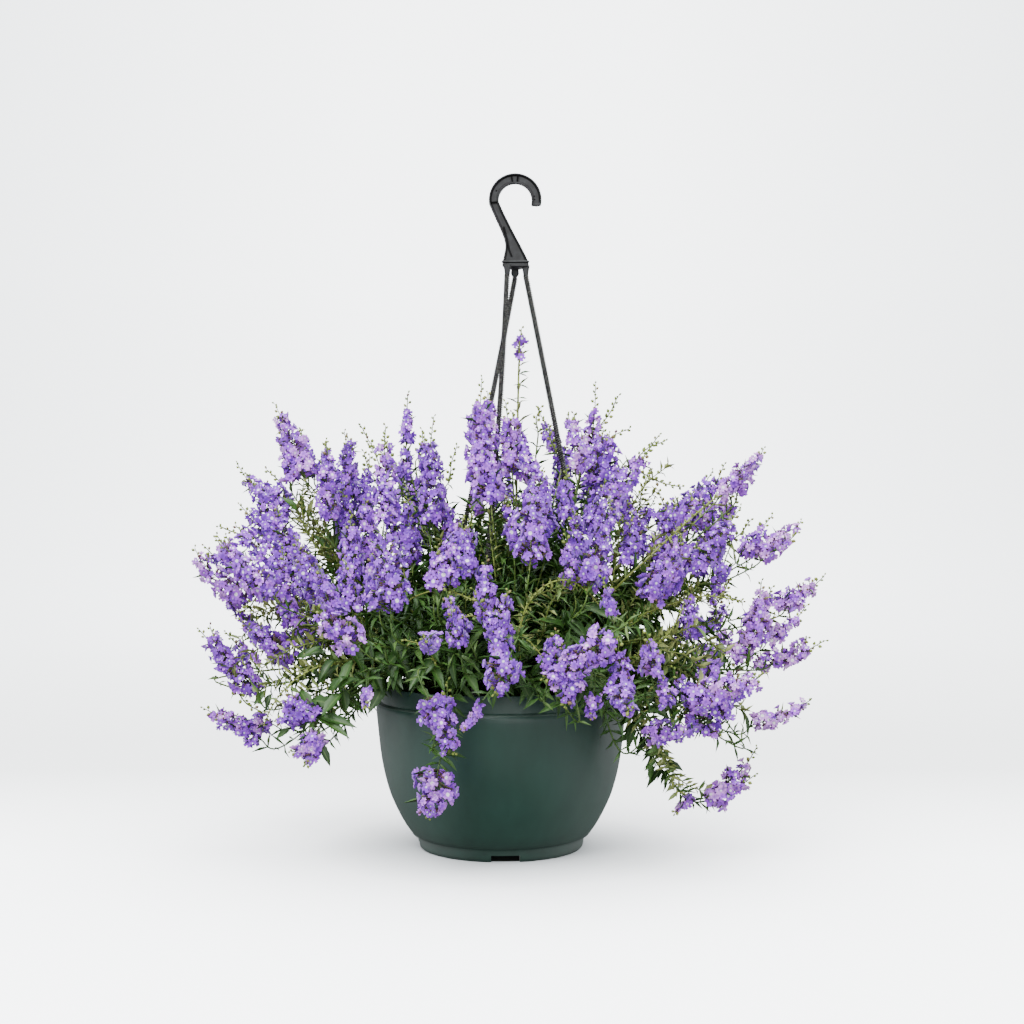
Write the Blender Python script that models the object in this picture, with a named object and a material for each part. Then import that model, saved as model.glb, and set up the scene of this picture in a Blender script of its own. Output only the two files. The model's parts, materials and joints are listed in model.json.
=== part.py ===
"""A potted angelonia: a flowering bedding plant in a green hanging basket, with its plastic hanger.

Metres, +Z up. The origin is the middle of the basket's foot, on the surface it stands on. The places of
the flower spikes and of the strands are written in millimetres, because they are read that way.
"""

import math
import random

import bmesh
import bpy
from mathutils import Vector
from mathutils.bvhtree import BVHTree

MM = 0.001
GAP = 0.0003

# Basket
POT_SEGMENTS = 28
WALL = 0.002
FOOT_RADIUS = 0.084
FOOT_WALL = 0.003
FOOT_TOP = 0.0120
FLOOR_UNDER = 0.0104
FLOOR_TOP = 0.0129
FLOOR_EDGE = 0.083
NOTCH_COUNT = 4
NOTCH_WIDTH = 0.028
NOTCH_HEIGHT = 0.0070
NOTCH_BEARING = -87
DRAIN_COUNT = 4
DRAIN_RADIUS = 0.005
DRAIN_CIRCLE = 0.058
DRAIN_BEARING = 30
RIM_HEIGHT = 0.165
# Outer wall above the foot, as (radius, height), up to the band round the rim
WALL_OUTSIDE = [
    (0.0904, 0.0149),
    (0.0985, 0.0267),
    (0.1072, 0.0430),
    (0.1146, 0.0615),
    (0.1217, 0.0920),
    (0.1270, 0.1390),
    (0.1264, 0.1462),
]
BAND_BOTTOM = (0.1222, 0.1484)
BAND_TOP = (0.1210, RIM_HEIGHT)

# Lugs inside the rim that the strands clip into
STRAND_CIRCLE = 0.112
LUG_INNER = 0.1045
LUG_WIDTH = 0.014
LUG_BOTTOM = 0.1525
LUG_THICK = 0.003
LUG_HOLE_RADIUS = 0.0026

# Soil
SOIL_SEGMENTS = 14
SOIL_FOOT = 0.082
SOIL_EDGE = (0.1233, 0.138)
SOIL_SHOULDER = (0.090, 0.146)
SOIL_TOP = 0.150
HOLE_BOTTOM = 0.120

# Hanger hook, crown and ears
HOOK_CENTRE = (0.0145, 0.6594)
HOOK_OUTER = 0.0270
HOOK_INNER = 0.0170
HOOK_THICK = 0.0064
HOOK_WEB = 0.0026
HOOK_FLANGE = 0.0016
HOOK_FLANGE_FOOT = 0.0021
HOOK_TIP_ANGLE = -11
HOOK_BACK_ANGLE = 188
HOOK_STEPS = 9
# The shank below the arc, as (left edge, right edge, height)
SHANK = [
    (-0.0050, 0.0060, 0.6395),
    (0.0022, 0.0143, 0.6230),
    (0.0044, 0.0205, 0.6120),
    (0.0024, 0.0268, 0.6000),
]
CROWN_CENTRE = 0.0148
CROWN_RADIUS = 0.0140
CROWN_TOP = 0.5965
CROWN_SIDES = 12
CROWN_BOTTOM = 0.5915
EAR_CIRCLE = 0.0108
EAR_BOTTOM = 0.5810
EAR_TOP_HALF = 0.0043
EAR_BOTTOM_HALF = 0.0025

# Strands: name, the ear's bearing and the rim lug's bearing in degrees from +X, and the bow in mm
STRANDS = [
    ("strand_front", -141, -104, (4, 0)),
    ("strand_back_left", 92, 136, (4, 0)),
    ("strand_back_right", -15, 16, (1, 0)),
]
STRAND_RADIUS = 0.0023
STRAND_NECK_RADIUS = 0.0019
STRAND_SIDES = 6
STRAND_STEPS = 7
STRAND_SETS_OFF = 0.160
BUTTON_RADIUS = 0.0042
BUTTON_TIP_RADIUS = 0.0025
BUTTON_BOTTOM = 0.1485
BUTTON_EDGE = 0.0012

# Rooted clumps: name, bearing of the middle of its sixth of the basket
CLUMPS = {
    "plant_left": 166,
    "plant_front_left": -134,
    "plant_front_right": -74,
    "plant_right": -14,
    "plant_back_right": 46,
    "plant_back_left": 106,
}
STOCK_CIRCLE = 0.045
STOCK_RADIUS = 0.0060
STOCK_TOP = 0.168
STOCK_SIDES = 6

# Stems and leaves
STEM_SIDES = 3
STEM_ROOT_RADIUS = 0.0018
STEM_TOP_RADIUS = 0.0012
STEM_LONGEST_CELL = 0.090
STEM_THREE_NODES = 0.250
STEM_TURN = 77
# Heights inside the stock at which a stem may start
STEM_ROOTS = (0.153, 0.164)
# A stem rises by this much over the straight line at this share of its length
STEM_ARCH = 0.018
STEM_ARCH_AT = 0.30
# Its last stretch: the longest, the largest share of the stem, and how much of it follows the spike's direction
LEAD_LENGTH = 0.030
LEAD_SHARE = 0.25
LEAD_FOLLOWS = 0.7
# Low stems that end this far outside the rim's shoulder bend over it
SHOULDER_RADIUS = 0.116
SHOULDER_HEIGHT = 0.186
SHOULDER_OUT = 0.020
SHOULDER_UP = 0.015
SHOOT_ROOT = 0.162
SHOOT_ARCH = 0.016
# Share of a stem's length over which its leaf nodes are spread
LEAF_NODES_FROM = 0.26
LEAF_NODES_TO = 0.97
NODE_HEIGHT = 0.0032
LEAF_LENGTH = (0.054, 0.072)
LEAF_WIDTH = 0.0190
LEAF_WIDTH_VARIES = (0.85, 1.1)
LEAF_THICK = 0.0011
# How far a blade leans up its stem, sideways and up, and how much it droops at the tip
LEAF_LEANS = (0.25, 1.0)
LEAF_SWAYS = 0.35
LEAF_RISES = 0.12
LEAF_DROOPS = (0.10, 0.32)
LEAF_TRIES = 4
LEAF_SHORTER = 0.12
# A blade's edge as (share of its length, share of its width), with one tooth, and where its midrib is thickest
LEAF_EDGE = [(0.26, 0.86), (0.44, 1.0), (0.53, 0.70)]
LEAF_RIB = 0.42
# Leafy shoots with no flowers, most at the back: degrees off the clump's middle, reach and height of the end
SHOOTS = {
    "plant_left": [(-20, 0.158, 0.190)],
    "plant_front_left": [(-10, 0.150, 0.200)],
    "plant_front_right": [(-17, 0.150, 0.200), (20, 0.150, 0.196)],
    "plant_right": [(-20, 0.150, 0.200)],
    "plant_back_right": [(-20, 0.152, 0.196), (4, 0.158, 0.205), (20, 0.118, 0.255)],
    "plant_back_left": [(-18, 0.150, 0.200), (4, 0.125, 0.262), (20, 0.158, 0.196)],
}

# Flower spikes
WHORL_PITCH = 0.027
CORE_SIDES = 6
CORE_RADIUS = 0.0031
CORE_TAPER = 0.25
BUD_LENGTH = 0.015
FLORET_REACH = 0.0075
FLORET_CUP = 0.0030
LOBE_BOTTOM = 0.0128
LOBE_SIDE = 0.0116
LOBE_TOP = 0.0106
LOBE_NOTCH = 0.0070
LOBE_FORWARD = 0.0008
FLORET_LIFT = 0.28
FLORETS_SHRINK = 0.22
FLORET_CLEARANCE = 1.06
GOLDEN_ANGLE = math.radians(137.5)

# The longest stem hangs over the rim and turns up again at its end
TRAILING_STEM = [(102, -66, 184), (135, -84, 122), (160, -82, 84), (184, -80, 60)]

# Each spike: clump, name, where its florets begin and end in mm, and any points its stem passes on the way
SPIKES = [
    ("plant_left", "spike_left_a", (-205, 30, 380), (-230, 35, 440), []),
    ("plant_left", "spike_left_b", (-225, 60, 345), (-270, 65, 375), []),
    ("plant_left", "spike_left_c", (-175, -10, 335), (-175, -12, 395), []),
    ("plant_left", "spike_left_d", (-160, 45, 320), (-160, 45, 412), []),
    ("plant_left", "spike_left_e", (-264, 10, 250), (-311, 12, 293), []),
    ("plant_left", "spike_left_f", (-215, 0, 305), (-258, 0, 338), []),
    ("plant_left", "spike_left_g", (-247, -25, 160), (-288, -30, 215), []),
    ("plant_left", "spike_left_h", (-240, 20, 122), (-300, 22, 133), []),
    ("plant_left", "spike_left_i", (-210, 110, 215), (-250, 135, 250), []),
    ("plant_front_left", "spike_front_left_a", (-115, -60, 330), (-115, -55, 402), []),
    ("plant_front_left", "spike_front_left_b", (-70, -55, 330), (-70, -50, 405), []),
    ("plant_front_left", "spike_front_left_c", (-220, -100, 262), (-262, -105, 305), []),
    ("plant_front_left", "spike_front_left_d", (-172, -110, 255), (-190, -118, 302), []),
    ("plant_front_left", "spike_front_left_e", (-101, -160, 248), (-107, -150, 312), []),
    ("plant_front_left", "spike_front_left_f", (-132, -172, 218), (-160, -184, 244), []),
    ("plant_front_left", "spike_front_left_g", (-52, -150, 271), (-37, -132, 321), []),
    ("plant_front_left", "spike_front_left_h", (-62, -195, 222), (-66, -235, 226), []),
    ("plant_front_left", "spike_front_left_i", (-66, -178, 170), (-46, -186, 126), []),
    ("plant_front_left", "spike_front_left_j", (-58, -153, 104), (-68, -156, 60), []),
    ("plant_front_right", "spike_front_right_a", (-10, -90, 350), (-20, -92, 440), []),
    ("plant_front_right", "spike_front_right_b", (29, -45, 372), (12, -48, 430), []),
    ("plant_front_right", "spike_front_right_c", (17, -30, 490), (18, -32, 524), []),
    ("plant_front_right", "spike_front_right_d", (27, -145, 292), (37, -125, 368), []),
    ("plant_front_right", "spike_front_right_e", (82, -150, 273), (101, -140, 340), []),
    ("plant_front_right", "spike_front_right_f", (0, -200, 206), (4, -205, 259), []),
    ("plant_front_right", "spike_front_right_g", (95, -188, 226), (43, -215, 192), []),
    ("plant_front_right", "spike_front_right_h", (104, -198, 180), (110, -236, 166), []),
    ("plant_right", "spike_right_a", (74, -30, 382), (69, -30, 430), []),
    ("plant_right", "spike_right_b", (110, -35, 352), (140, -40, 392), []),
    ("plant_right", "spike_right_c", (225, -5, 358), (264, -5, 398), []),
    ("plant_right", "spike_right_d", (188, -40, 282), (226, -45, 327), []),
    ("plant_right", "spike_right_e", (140, -120, 256), (167, -130, 307), []),
    ("plant_right", "spike_right_f", (264, 15, 298), (306, 18, 325), []),
    ("plant_right", "spike_right_g", (276, -20, 248), (312, -22, 268), []),
    ("plant_right", "spike_right_h", (243, -70, 212), (252, -72, 260), []),
    ("plant_right", "spike_right_i", (264, 10, 184), (311, 12, 207), []),
    ("plant_right", "spike_right_j", (175, -140, 164), (234, -150, 183), []),
    ("plant_right", "spike_right_k", (251, -50, 130), (298, -55, 150), []),
    ("plant_right", "spike_right_l", (202, -80, 60), (236, -85, 94), TRAILING_STEM),
    ("plant_back_right", "spike_back_right_a", (94, 45, 385), (99, 45, 446), []),
    ("plant_back_right", "spike_back_right_b", (170, 85, 332), (222, 90, 375), []),
    ("plant_back_right", "spike_back_right_c", (60, 150, 320), (70, 170, 385), []),
    ("plant_back_right", "spike_back_right_d", (105, 185, 190), (135, 232, 215), []),
    ("plant_back_right", "spike_back_right_e", (215, 130, 175), (255, 150, 205), []),
    ("plant_back_left", "spike_back_left_a", (-25, 75, 375), (-30, 85, 445), []),
    ("plant_back_left", "spike_back_left_b", (-75, 150, 305), (-90, 170, 365), []),
    ("plant_back_left", "spike_back_left_c", (10, 185, 235), (10, 220, 280), []),
    ("plant_back_left", "spike_back_left_d", (-110, 200, 195), (-130, 236, 225), []),
]


def clear_scene():
    for thing in list(bpy.data.objects):
        bpy.data.objects.remove(thing, do_unlink=True)


def plain_material(name, colour, roughness):
    made = bpy.data.materials.new(name)
    made.use_nodes = True
    surface = made.node_tree.nodes["Principled BSDF"]
    surface.inputs["Base Color"].default_value = (*colour, 1)
    surface.inputs["Roughness"].default_value = roughness
    surface.inputs["Metallic"].default_value = 0
    return made


def add_object(name, points, faces, material):
    mesh = bpy.data.meshes.new(name)
    mesh.from_pydata([tuple(point) for point in points], [], faces)
    mesh.validate()
    mesh.materials.append(material)
    made = bpy.data.objects.new(name, mesh)
    bpy.context.scene.collection.objects.link(made)
    return made


def bearing(degrees):
    return Vector((math.cos(math.radians(degrees)), math.sin(math.radians(degrees)), 0))


def turned(name, profile, segments, material):
    """A closed turned solid. Its profile is (radius, height) points, up the outside and down the middle."""
    points = []
    rings = []
    for radius, height in profile:
        if radius == 0:
            rings.append([len(points)] * segments)
            points.append((0, 0, height))
            continue
        rings.append(list(range(len(points), len(points) + segments)))
        points += [bearing(360 * k / segments) * radius + Vector((0, 0, height)) for k in range(segments)]
    faces = []
    for below, above in zip(rings, rings[1:] + rings[:1]):
        for k in range(segments):
            corners = [below[k], below[(k + 1) % segments], above[(k + 1) % segments], above[k]]
            face = list(dict.fromkeys(corners))
            if len(face) > 2:
                faces.append(face)
    return add_object(name, points, faces, material)


def prism(name, centre, radius, bottom, top, sides, material):
    """An upright prism, closed, round the given place."""
    rings = []
    for height in (bottom, top):
        rings.append(
            [Vector((centre[0], centre[1], height)) + bearing(360 * k / sides) * radius for k in range(sides)]
        )
    return loft(name, rings, material)


def loft(name, rings, material):
    """A closed solid through rings of points, each ring counter-clockwise seen from the last one."""
    count = len(rings[0])
    points = [point for ring in rings for point in ring]
    faces = [list(range(count))[::-1]]
    for level in range(len(rings) - 1):
        start = level * count
        for k in range(count):
            after = (k + 1) % count
            faces.append([start + k, start + after, start + count + after, start + count + k])
    faces.append([(len(rings) - 1) * count + k for k in range(count)])
    return add_object(name, points, faces, material)


def block(name, low, high, turn, material):
    """A box with its sides along the given bearing, closed."""
    out = bearing(turn)
    across = bearing(turn + 90)
    rings = []
    for height in (low[2], high[2]):
        corners = [(low[0], low[1]), (high[0], low[1]), (high[0], high[1]), (low[0], high[1])]
        rings.append([out * a + across * b + Vector((0, 0, height)) for a, b in corners])
    return loft(name, rings, material)


def boolean(target, tools, operation):
    """Joins or cuts the target with the tools in one step, and removes the tools."""
    group = bpy.data.collections.new(target.name + "_tools")
    bpy.context.scene.collection.children.link(group)
    for tool in tools:
        bpy.context.scene.collection.objects.unlink(tool)
        group.objects.link(tool)
    step = target.modifiers.new(operation.lower(), "BOOLEAN")
    step.operation = operation
    step.operand_type = "COLLECTION"
    step.collection = group
    step.solver = "EXACT"
    graph = bpy.context.evaluated_depsgraph_get()
    graph.update()
    result = bpy.data.meshes.new_from_object(target.evaluated_get(graph))
    target.modifiers.remove(step)
    target.data = result
    for tool in tools:
        bpy.data.objects.remove(tool, do_unlink=True)
    bpy.data.collections.remove(group)


def keep_largest_body(target):
    """Drops loose scrap and sealed hollows that a union leaves."""
    form = bmesh.new()
    form.from_mesh(target.data)
    left = set(form.verts)
    bodies = []
    while left:
        reached = {left.pop()}
        edge_of_search = list(reached)
        while edge_of_search:
            corner = edge_of_search.pop()
            for edge in corner.link_edges:
                other = edge.other_vert(corner)
                if other in left:
                    left.remove(other)
                    reached.add(other)
                    edge_of_search.append(other)
        bodies.append(reached)
    bodies.sort(key=len, reverse=True)
    for scrap in bodies[1:]:
        bmesh.ops.delete(form, geom=list(scrap), context="VERTS")
    form.to_mesh(target.data)
    form.free()


def shade_round(target, sharp_degrees):
    target.data.shade_smooth()
    target.data.set_sharp_from_angle(angle=math.radians(sharp_degrees))


# Basket


def inner_wall():
    """The inside of the wall, one wall thickness in, from above the floor up to the rim's lip."""
    inside = [(radius - WALL, height) for radius, height in WALL_OUTSIDE[2:-1:2]]
    inside.append((WALL_OUTSIDE[-1][0] - WALL, WALL_OUTSIDE[-1][1] - WALL / 2))
    inside.append((BAND_BOTTOM[0] - WALL, BAND_BOTTOM[1]))
    inside.append((BAND_TOP[0] - WALL, BAND_TOP[1]))
    return inside


def make_basket(material, cutter_material):
    foot_inner = FOOT_RADIUS - FOOT_WALL
    outside = [
        (foot_inner, 0),
        (FOOT_RADIUS - 0.001, 0),
        (FOOT_RADIUS, 0.001),
        (FOOT_RADIUS + 0.0008, FOOT_TOP),
    ]
    outside += WALL_OUTSIDE + [BAND_BOTTOM, BAND_TOP]
    inside = list(reversed(inner_wall()))
    inside.append((WALL_OUTSIDE[0][0] - WALL, WALL_OUTSIDE[0][1] + 0.001))
    floor = [(FLOOR_EDGE, FLOOR_TOP), (0, FLOOR_TOP), (0, FLOOR_UNDER), (foot_inner - 0.001, FLOOR_UNDER)]
    basket = turned("pot", outside + inside + floor, POT_SEGMENTS, material)

    lugs = []
    for _, _, rim_bearing, _ in STRANDS:
        low = (LUG_INNER, -LUG_WIDTH / 2, LUG_BOTTOM)
        high = (BAND_TOP[0] - WALL / 3, LUG_WIDTH / 2, LUG_BOTTOM + LUG_THICK)
        lugs.append(block("lug", low, high, rim_bearing, material))
    boolean(basket, lugs, "UNION")

    cutters = []
    for _, _, rim_bearing, _ in STRANDS:
        hole = bearing(rim_bearing) * STRAND_CIRCLE
        bottom = LUG_BOTTOM - 0.001
        top = LUG_BOTTOM + LUG_THICK + 0.001
        cutters.append(prism("lug_hole", hole, LUG_HOLE_RADIUS, bottom, top, 8, cutter_material))
    for k in range(NOTCH_COUNT):
        low = (foot_inner - 0.004, -NOTCH_WIDTH / 2, -0.002)
        high = (FOOT_RADIUS + 0.004, NOTCH_WIDTH / 2, NOTCH_HEIGHT)
        cutters.append(block("notch", low, high, NOTCH_BEARING + 360 * k / NOTCH_COUNT, cutter_material))
    for k in range(DRAIN_COUNT):
        hole = bearing(DRAIN_BEARING + 360 * k / DRAIN_COUNT) * DRAIN_CIRCLE
        bottom = FLOOR_UNDER - 0.003
        top = FLOOR_TOP + 0.0035
        cutters.append(prism("drain", hole, DRAIN_RADIUS, bottom, top, 6, cutter_material))
    boolean(basket, cutters, "DIFFERENCE")
    shade_round(basket, 35)
    return basket


# Soil


def make_soil(material, cutter_material):
    profile = [(SOIL_FOOT, FLOOR_TOP + GAP)]
    for radius, height in inner_wall()[:-3]:
        profile.append((radius - GAP, height + GAP))
    profile += [SOIL_EDGE, SOIL_SHOULDER, (0, SOIL_TOP), (0, FLOOR_TOP + GAP)]
    soil = turned("soil", profile, SOIL_SEGMENTS, material)
    holes = []
    for middle in CLUMPS.values():
        place = bearing(middle) * STOCK_CIRCLE
        radius = STOCK_RADIUS + 2 * GAP
        holes.append(prism("hole", place, radius, HOLE_BOTTOM, SOIL_TOP + 0.01, STOCK_SIDES, cutter_material))
    boolean(soil, holes, "DIFFERENCE")
    shade_round(soil, 35)
    return soil


# Hanger


def hook_rails():
    """Pairs of outer and inner edge points of the hook and its shank, from the hook's tip down to the crown."""
    pairs = []
    for k in range(HOOK_STEPS + 1):
        angle = math.radians(HOOK_TIP_ANGLE + (HOOK_BACK_ANGLE - HOOK_TIP_ANGLE) * k / HOOK_STEPS)
        out = Vector((math.cos(angle), 0, math.sin(angle)))
        centre = Vector((HOOK_CENTRE[0], 0, HOOK_CENTRE[1]))
        pairs.append((centre + out * HOOK_OUTER, centre + out * HOOK_INNER))
    for left, right, height in SHANK:
        pairs.append((Vector((left, 0, height)), Vector((right, 0, height))))
    foot = (CROWN_TOP + CROWN_BOTTOM) / 2
    pairs.append((Vector((SHANK[-1][0], 0, foot)), Vector((SHANK[-1][1], 0, foot))))
    return pairs


def flanged_section(outer, inner):
    """Twelve points of an I-shaped bar section between an outer and an inner edge point."""
    across = (inner - outer).normalized()
    width = (inner - outer).length
    half = HOOK_THICK / 2
    web = HOOK_WEB / 2
    corners = [
        (0, -half),
        (HOOK_FLANGE, -half),
        (HOOK_FLANGE_FOOT, -web),
        (width - HOOK_FLANGE_FOOT, -web),
        (width - HOOK_FLANGE, -half),
        (width, -half),
        (width, half),
        (width - HOOK_FLANGE, half),
        (width - HOOK_FLANGE_FOOT, web),
        (HOOK_FLANGE_FOOT, web),
        (HOOK_FLANGE, half),
        (0, half),
    ]
    return [outer + across * a + Vector((0, b, 0)) for a, b in corners]


def ear_place(ear_bearing, height):
    return Vector((CROWN_CENTRE, 0, height)) + bearing(ear_bearing) * EAR_CIRCLE


def make_hook(material):
    rings = [flanged_section(outer, inner) for outer, inner in hook_rails()]
    hook = loft("hanger_hook", rings, material)
    crown = prism("crown", (CROWN_CENTRE, 0), CROWN_RADIUS, CROWN_BOTTOM, CROWN_TOP, CROWN_SIDES, material)
    ears = []
    for _, ear_bearing, _, _ in STRANDS:
        rings = []
        for height, half in ((EAR_BOTTOM, EAR_BOTTOM_HALF), (CROWN_BOTTOM + 0.001, EAR_TOP_HALF)):
            centre = ear_place(ear_bearing, height)
            turns = [ear_bearing + 45 + 90 * k for k in range(4)]
            rings.append([centre + bearing(turn) * half * math.sqrt(2) for turn in turns])
        ears.append(loft("ear", rings, material))
    boolean(hook, [crown] + ears, "UNION")
    shade_round(hook, 35)
    return hook


def strand_line(ear_bearing, rim_bearing, bow):
    """The strand's middle line, from the bottom of its button up to the ear."""
    lug = bearing(rim_bearing) * STRAND_CIRCLE
    start = lug + Vector((0, 0, STRAND_SETS_OFF))
    end = ear_place(ear_bearing, EAR_BOTTOM - GAP)
    line = [lug + Vector((0, 0, LUG_BOTTOM)), start]
    for k in range(1, STRAND_STEPS + 1):
        t = k / STRAND_STEPS
        sway = Vector((bow[0], bow[1], 0)) * MM * 4 * t * (1 - t)
        line.append(start.lerp(end, t) + sway)
    return line


def make_strand(name, ear_bearing, rim_bearing, bow, material):
    line = strand_line(ear_bearing, rim_bearing, bow)
    lug = bearing(rim_bearing) * STRAND_CIRCLE
    rings = []
    for height, radius in (
        (BUTTON_BOTTOM, BUTTON_TIP_RADIUS),
        (LUG_BOTTOM - GAP - BUTTON_EDGE, BUTTON_RADIUS),
        (LUG_BOTTOM - GAP, BUTTON_RADIUS),
    ):
        rings.append(flat_ring(lug + Vector((0, 0, height)), radius, STRAND_SIDES))
    rings.append(flat_ring(lug + Vector((0, 0, LUG_BOTTOM)), STRAND_NECK_RADIUS, STRAND_SIDES))
    neck = lug + Vector((0, 0, LUG_BOTTOM + LUG_THICK + GAP))
    rings.append(flat_ring(neck, STRAND_NECK_RADIUS, STRAND_SIDES))
    for place in line[1:]:
        rings.append(flat_ring(place, STRAND_RADIUS, STRAND_SIDES))
    made = loft(name, rings, material)
    shade_round(made, 50)
    return made


def flat_ring(centre, radius, sides):
    return [centre + bearing(360 * k / sides) * radius for k in range(sides)]


# Stems


def through(points, steps):
    """A smooth line through the points."""
    padded = [points[0] * 2 - points[1]] + list(points) + [points[-1] * 2 - points[-2]]
    line = []
    for k in range(1, len(padded) - 2):
        a, b, c, d = padded[k - 1 : k + 3]
        for step in range(steps):
            t = step / steps
            square = a - b * 2.5 + c * 2 - d / 2
            cube = b * 1.5 - a / 2 - c * 1.5 + d / 2
            line.append(b + (c - a) * (t / 2) + square * t**2 + cube * t**3)
    line.append(points[-1])
    return line


def stem_line(clump, base, tip, passes, draw):
    """A stem's middle line from inside its stock to just under its spike."""
    base = Vector(base) * MM
    tip = Vector(tip) * MM
    along = (tip - base).normalized()
    stock = bearing(CLUMPS[clump]) * STOCK_CIRCLE
    root = stock + Vector((0, 0, draw.uniform(*STEM_ROOTS)))
    approach = (base - root).normalized()
    direction = (along * LEAD_FOLLOWS + approach * (1 - LEAD_FOLLOWS)).normalized()
    lead = base - direction * min(LEAD_LENGTH, (base - root).length * LEAD_SHARE)
    points = [root]
    if passes:
        points += [Vector(place) * MM for place in passes]
    else:
        flat = Vector((base.x, base.y, 0))
        outside_rim = flat.length > SHOULDER_RADIUS + SHOULDER_OUT
        if outside_rim and lead.z < SHOULDER_HEIGHT + SHOULDER_UP:
            points.append(flat.normalized() * SHOULDER_RADIUS + Vector((0, 0, SHOULDER_HEIGHT)))
        else:
            points.append(root.lerp(lead, STEM_ARCH_AT) + Vector((0, 0, STEM_ARCH)))
        points.append(lead)
    points.append(base - along * GAP)
    return through(points, 8)


def line_length(line):
    return sum((b - a).length for a, b in zip(line, line[1:]))


def place_on(line, distance):
    """The point at a distance along a line, and the line's direction there."""
    for a, b in zip(line, line[1:]):
        span = (b - a).length
        if distance <= span or b is line[-1]:
            return a + (b - a) * min(distance / span, 1), (b - a).normalized()
        distance -= span


def stem_stations(line, nodes):
    """Distances of a stem's rings, with two close ones at each leaf node, and which cells carry leaves."""
    total = line_length(line)
    stations = [0]
    leafy = []
    for k in range(nodes):
        middle = total * (LEAF_NODES_FROM + (LEAF_NODES_TO - LEAF_NODES_FROM) * (k + 0.5) / nodes)
        if middle - stations[-1] > STEM_LONGEST_CELL:
            stations.append((middle + stations[-1]) / 2)
        leafy.append(len(stations))
        stations += [middle - NODE_HEIGHT / 2, middle + NODE_HEIGHT / 2]
    if total - stations[-1] > STEM_LONGEST_CELL:
        stations.append((total + stations[-1]) / 2)
    stations.append(total)
    return stations, leafy


def stem_rings(line, stations, turn, end_along):
    """Rings of a stem's tube. The last one lies square to the spike that it carries."""
    total = stations[-1]
    reference = bearing(turn) + Vector((0, 0, 0.2))
    rings = []
    for distance in stations:
        place, along = place_on(line, distance)
        if distance == total:
            along = end_along
        side = (reference - along * reference.dot(along)).normalized()
        other = along.cross(side)
        reference = side
        radius = STEM_ROOT_RADIUS + (STEM_TOP_RADIUS - STEM_ROOT_RADIUS) * distance / total
        ring = []
        for corner in range(STEM_SIDES):
            angle = math.tau * corner / STEM_SIDES
            ring.append(place + (side * math.cos(angle) + other * math.sin(angle)) * radius)
        rings.append(ring)
    return rings


def tree_of(points, faces):
    return BVHTree.FromPolygons([tuple(point) for point in points], faces)


def tube_tree(rings):
    """A search tree of a stem's bare tube."""
    points = [point for ring in rings for point in ring]
    faces = []
    for level in range(len(rings) - 1):
        for k in range(STEM_SIDES):
            after = (k + 1) % STEM_SIDES
            low = level * STEM_SIDES
            faces.append([low + k, low + after, low + STEM_SIDES + after, low + STEM_SIDES + k])
    return tree_of(points, faces)


# Flower spikes


def spike_frame(base, tip, number):
    along = (tip - base).normalized()
    side = along.orthogonal().normalized()
    other = along.cross(side)
    phase = GOLDEN_ANGLE * number
    return along, side * math.cos(phase) + other * math.sin(phase)


def floret_outline(centre, facing, right, up, size):
    """Ten points round a floret's five lobes, the wide lower lobe first, counter-clockwise from in front."""
    half = [LOBE_BOTTOM, LOBE_NOTCH, LOBE_SIDE, LOBE_NOTCH, LOBE_TOP]
    reach = half + [LOBE_NOTCH] + half[:0:-1]
    outline = []
    for k in range(10):
        angle = math.radians(36 * k)
        forward = LOBE_FORWARD if k % 2 == 0 else 0
        offset = right * math.sin(angle) - up * math.cos(angle)
        outline.append(centre + (offset * reach[k] + facing * forward) * size)
    return outline


def floret_faces(cell, ring, throat):
    """Faces of a funnel from a four-cornered cell to a ring of ten points, and of the cupped front."""
    a, b, c, d = cell
    # Which corner of the cell each stretch of the outline runs back to
    corner_of = [b, b, b, c, c, d, d, a, a, a]
    faces = []
    for k in range(10):
        after = (k + 1) % 10
        faces.append([corner_of[k], ring[after], ring[k]])
        faces.append([throat, ring[k], ring[after]])
    for start, end, meets in ((a, b, 0), (b, c, 3), (c, d, 5), (d, a, 7)):
        faces.append([start, end, ring[meets]])
    return faces


def spike_shape(base, tip, number, is_clear):
    """Points and faces of a spike: a slim core whose cells open into cupped florets, and a bud tip."""
    length = (tip - base).length
    whorls = max(2, round(length / WHORL_PITCH))
    pitch = length / whorls
    along, side = spike_frame(base, tip, number)
    other = along.cross(side)

    def outward(step):
        angle = math.tau * step / CORE_SIDES
        return side * math.cos(angle) + other * math.sin(angle)

    points = []
    for level in range(whorls + 1):
        radius = CORE_RADIUS * (1 - CORE_TAPER * level / whorls)
        points += [base + along * pitch * level + outward(k) * radius for k in range(CORE_SIDES)]
    faces = [list(range(CORE_SIDES))[::-1]]
    for level in range(whorls):
        size = 1 - FLORETS_SHRINK * level / whorls
        for k in range(CORE_SIDES):
            after = (k + 1) % CORE_SIDES
            low = level * CORE_SIDES
            high = low + CORE_SIDES
            cell = [low + k, low + after, high + after, high + k]
            out = outward(k + 0.5)
            facing = (out + along * FLORET_LIFT).normalized()
            root = base + along * pitch * (level + 0.5) + out * CORE_RADIUS * 0.8
            centre = root + facing * FLORET_REACH * size
            right = along.cross(out).normalized()
            up = facing.cross(right)
            outline = floret_outline(centre, facing, right, up, size)
            throat = centre - facing * FLORET_CUP
            corners = [points[index] for index in cell]
            if (level + k) % 2 or not is_clear(corners, outline, throat):
                faces.append(cell)
                continue
            first = len(points)
            points += outline + [throat]
            faces += floret_faces(cell, list(range(first, first + 10)), first + 10)
    points.append(tip + along * BUD_LENGTH)
    top = whorls * CORE_SIDES
    for k in range(CORE_SIDES):
        faces.append([top + k, top + (k + 1) % CORE_SIDES, len(points) - 1])
    return points, faces


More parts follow.
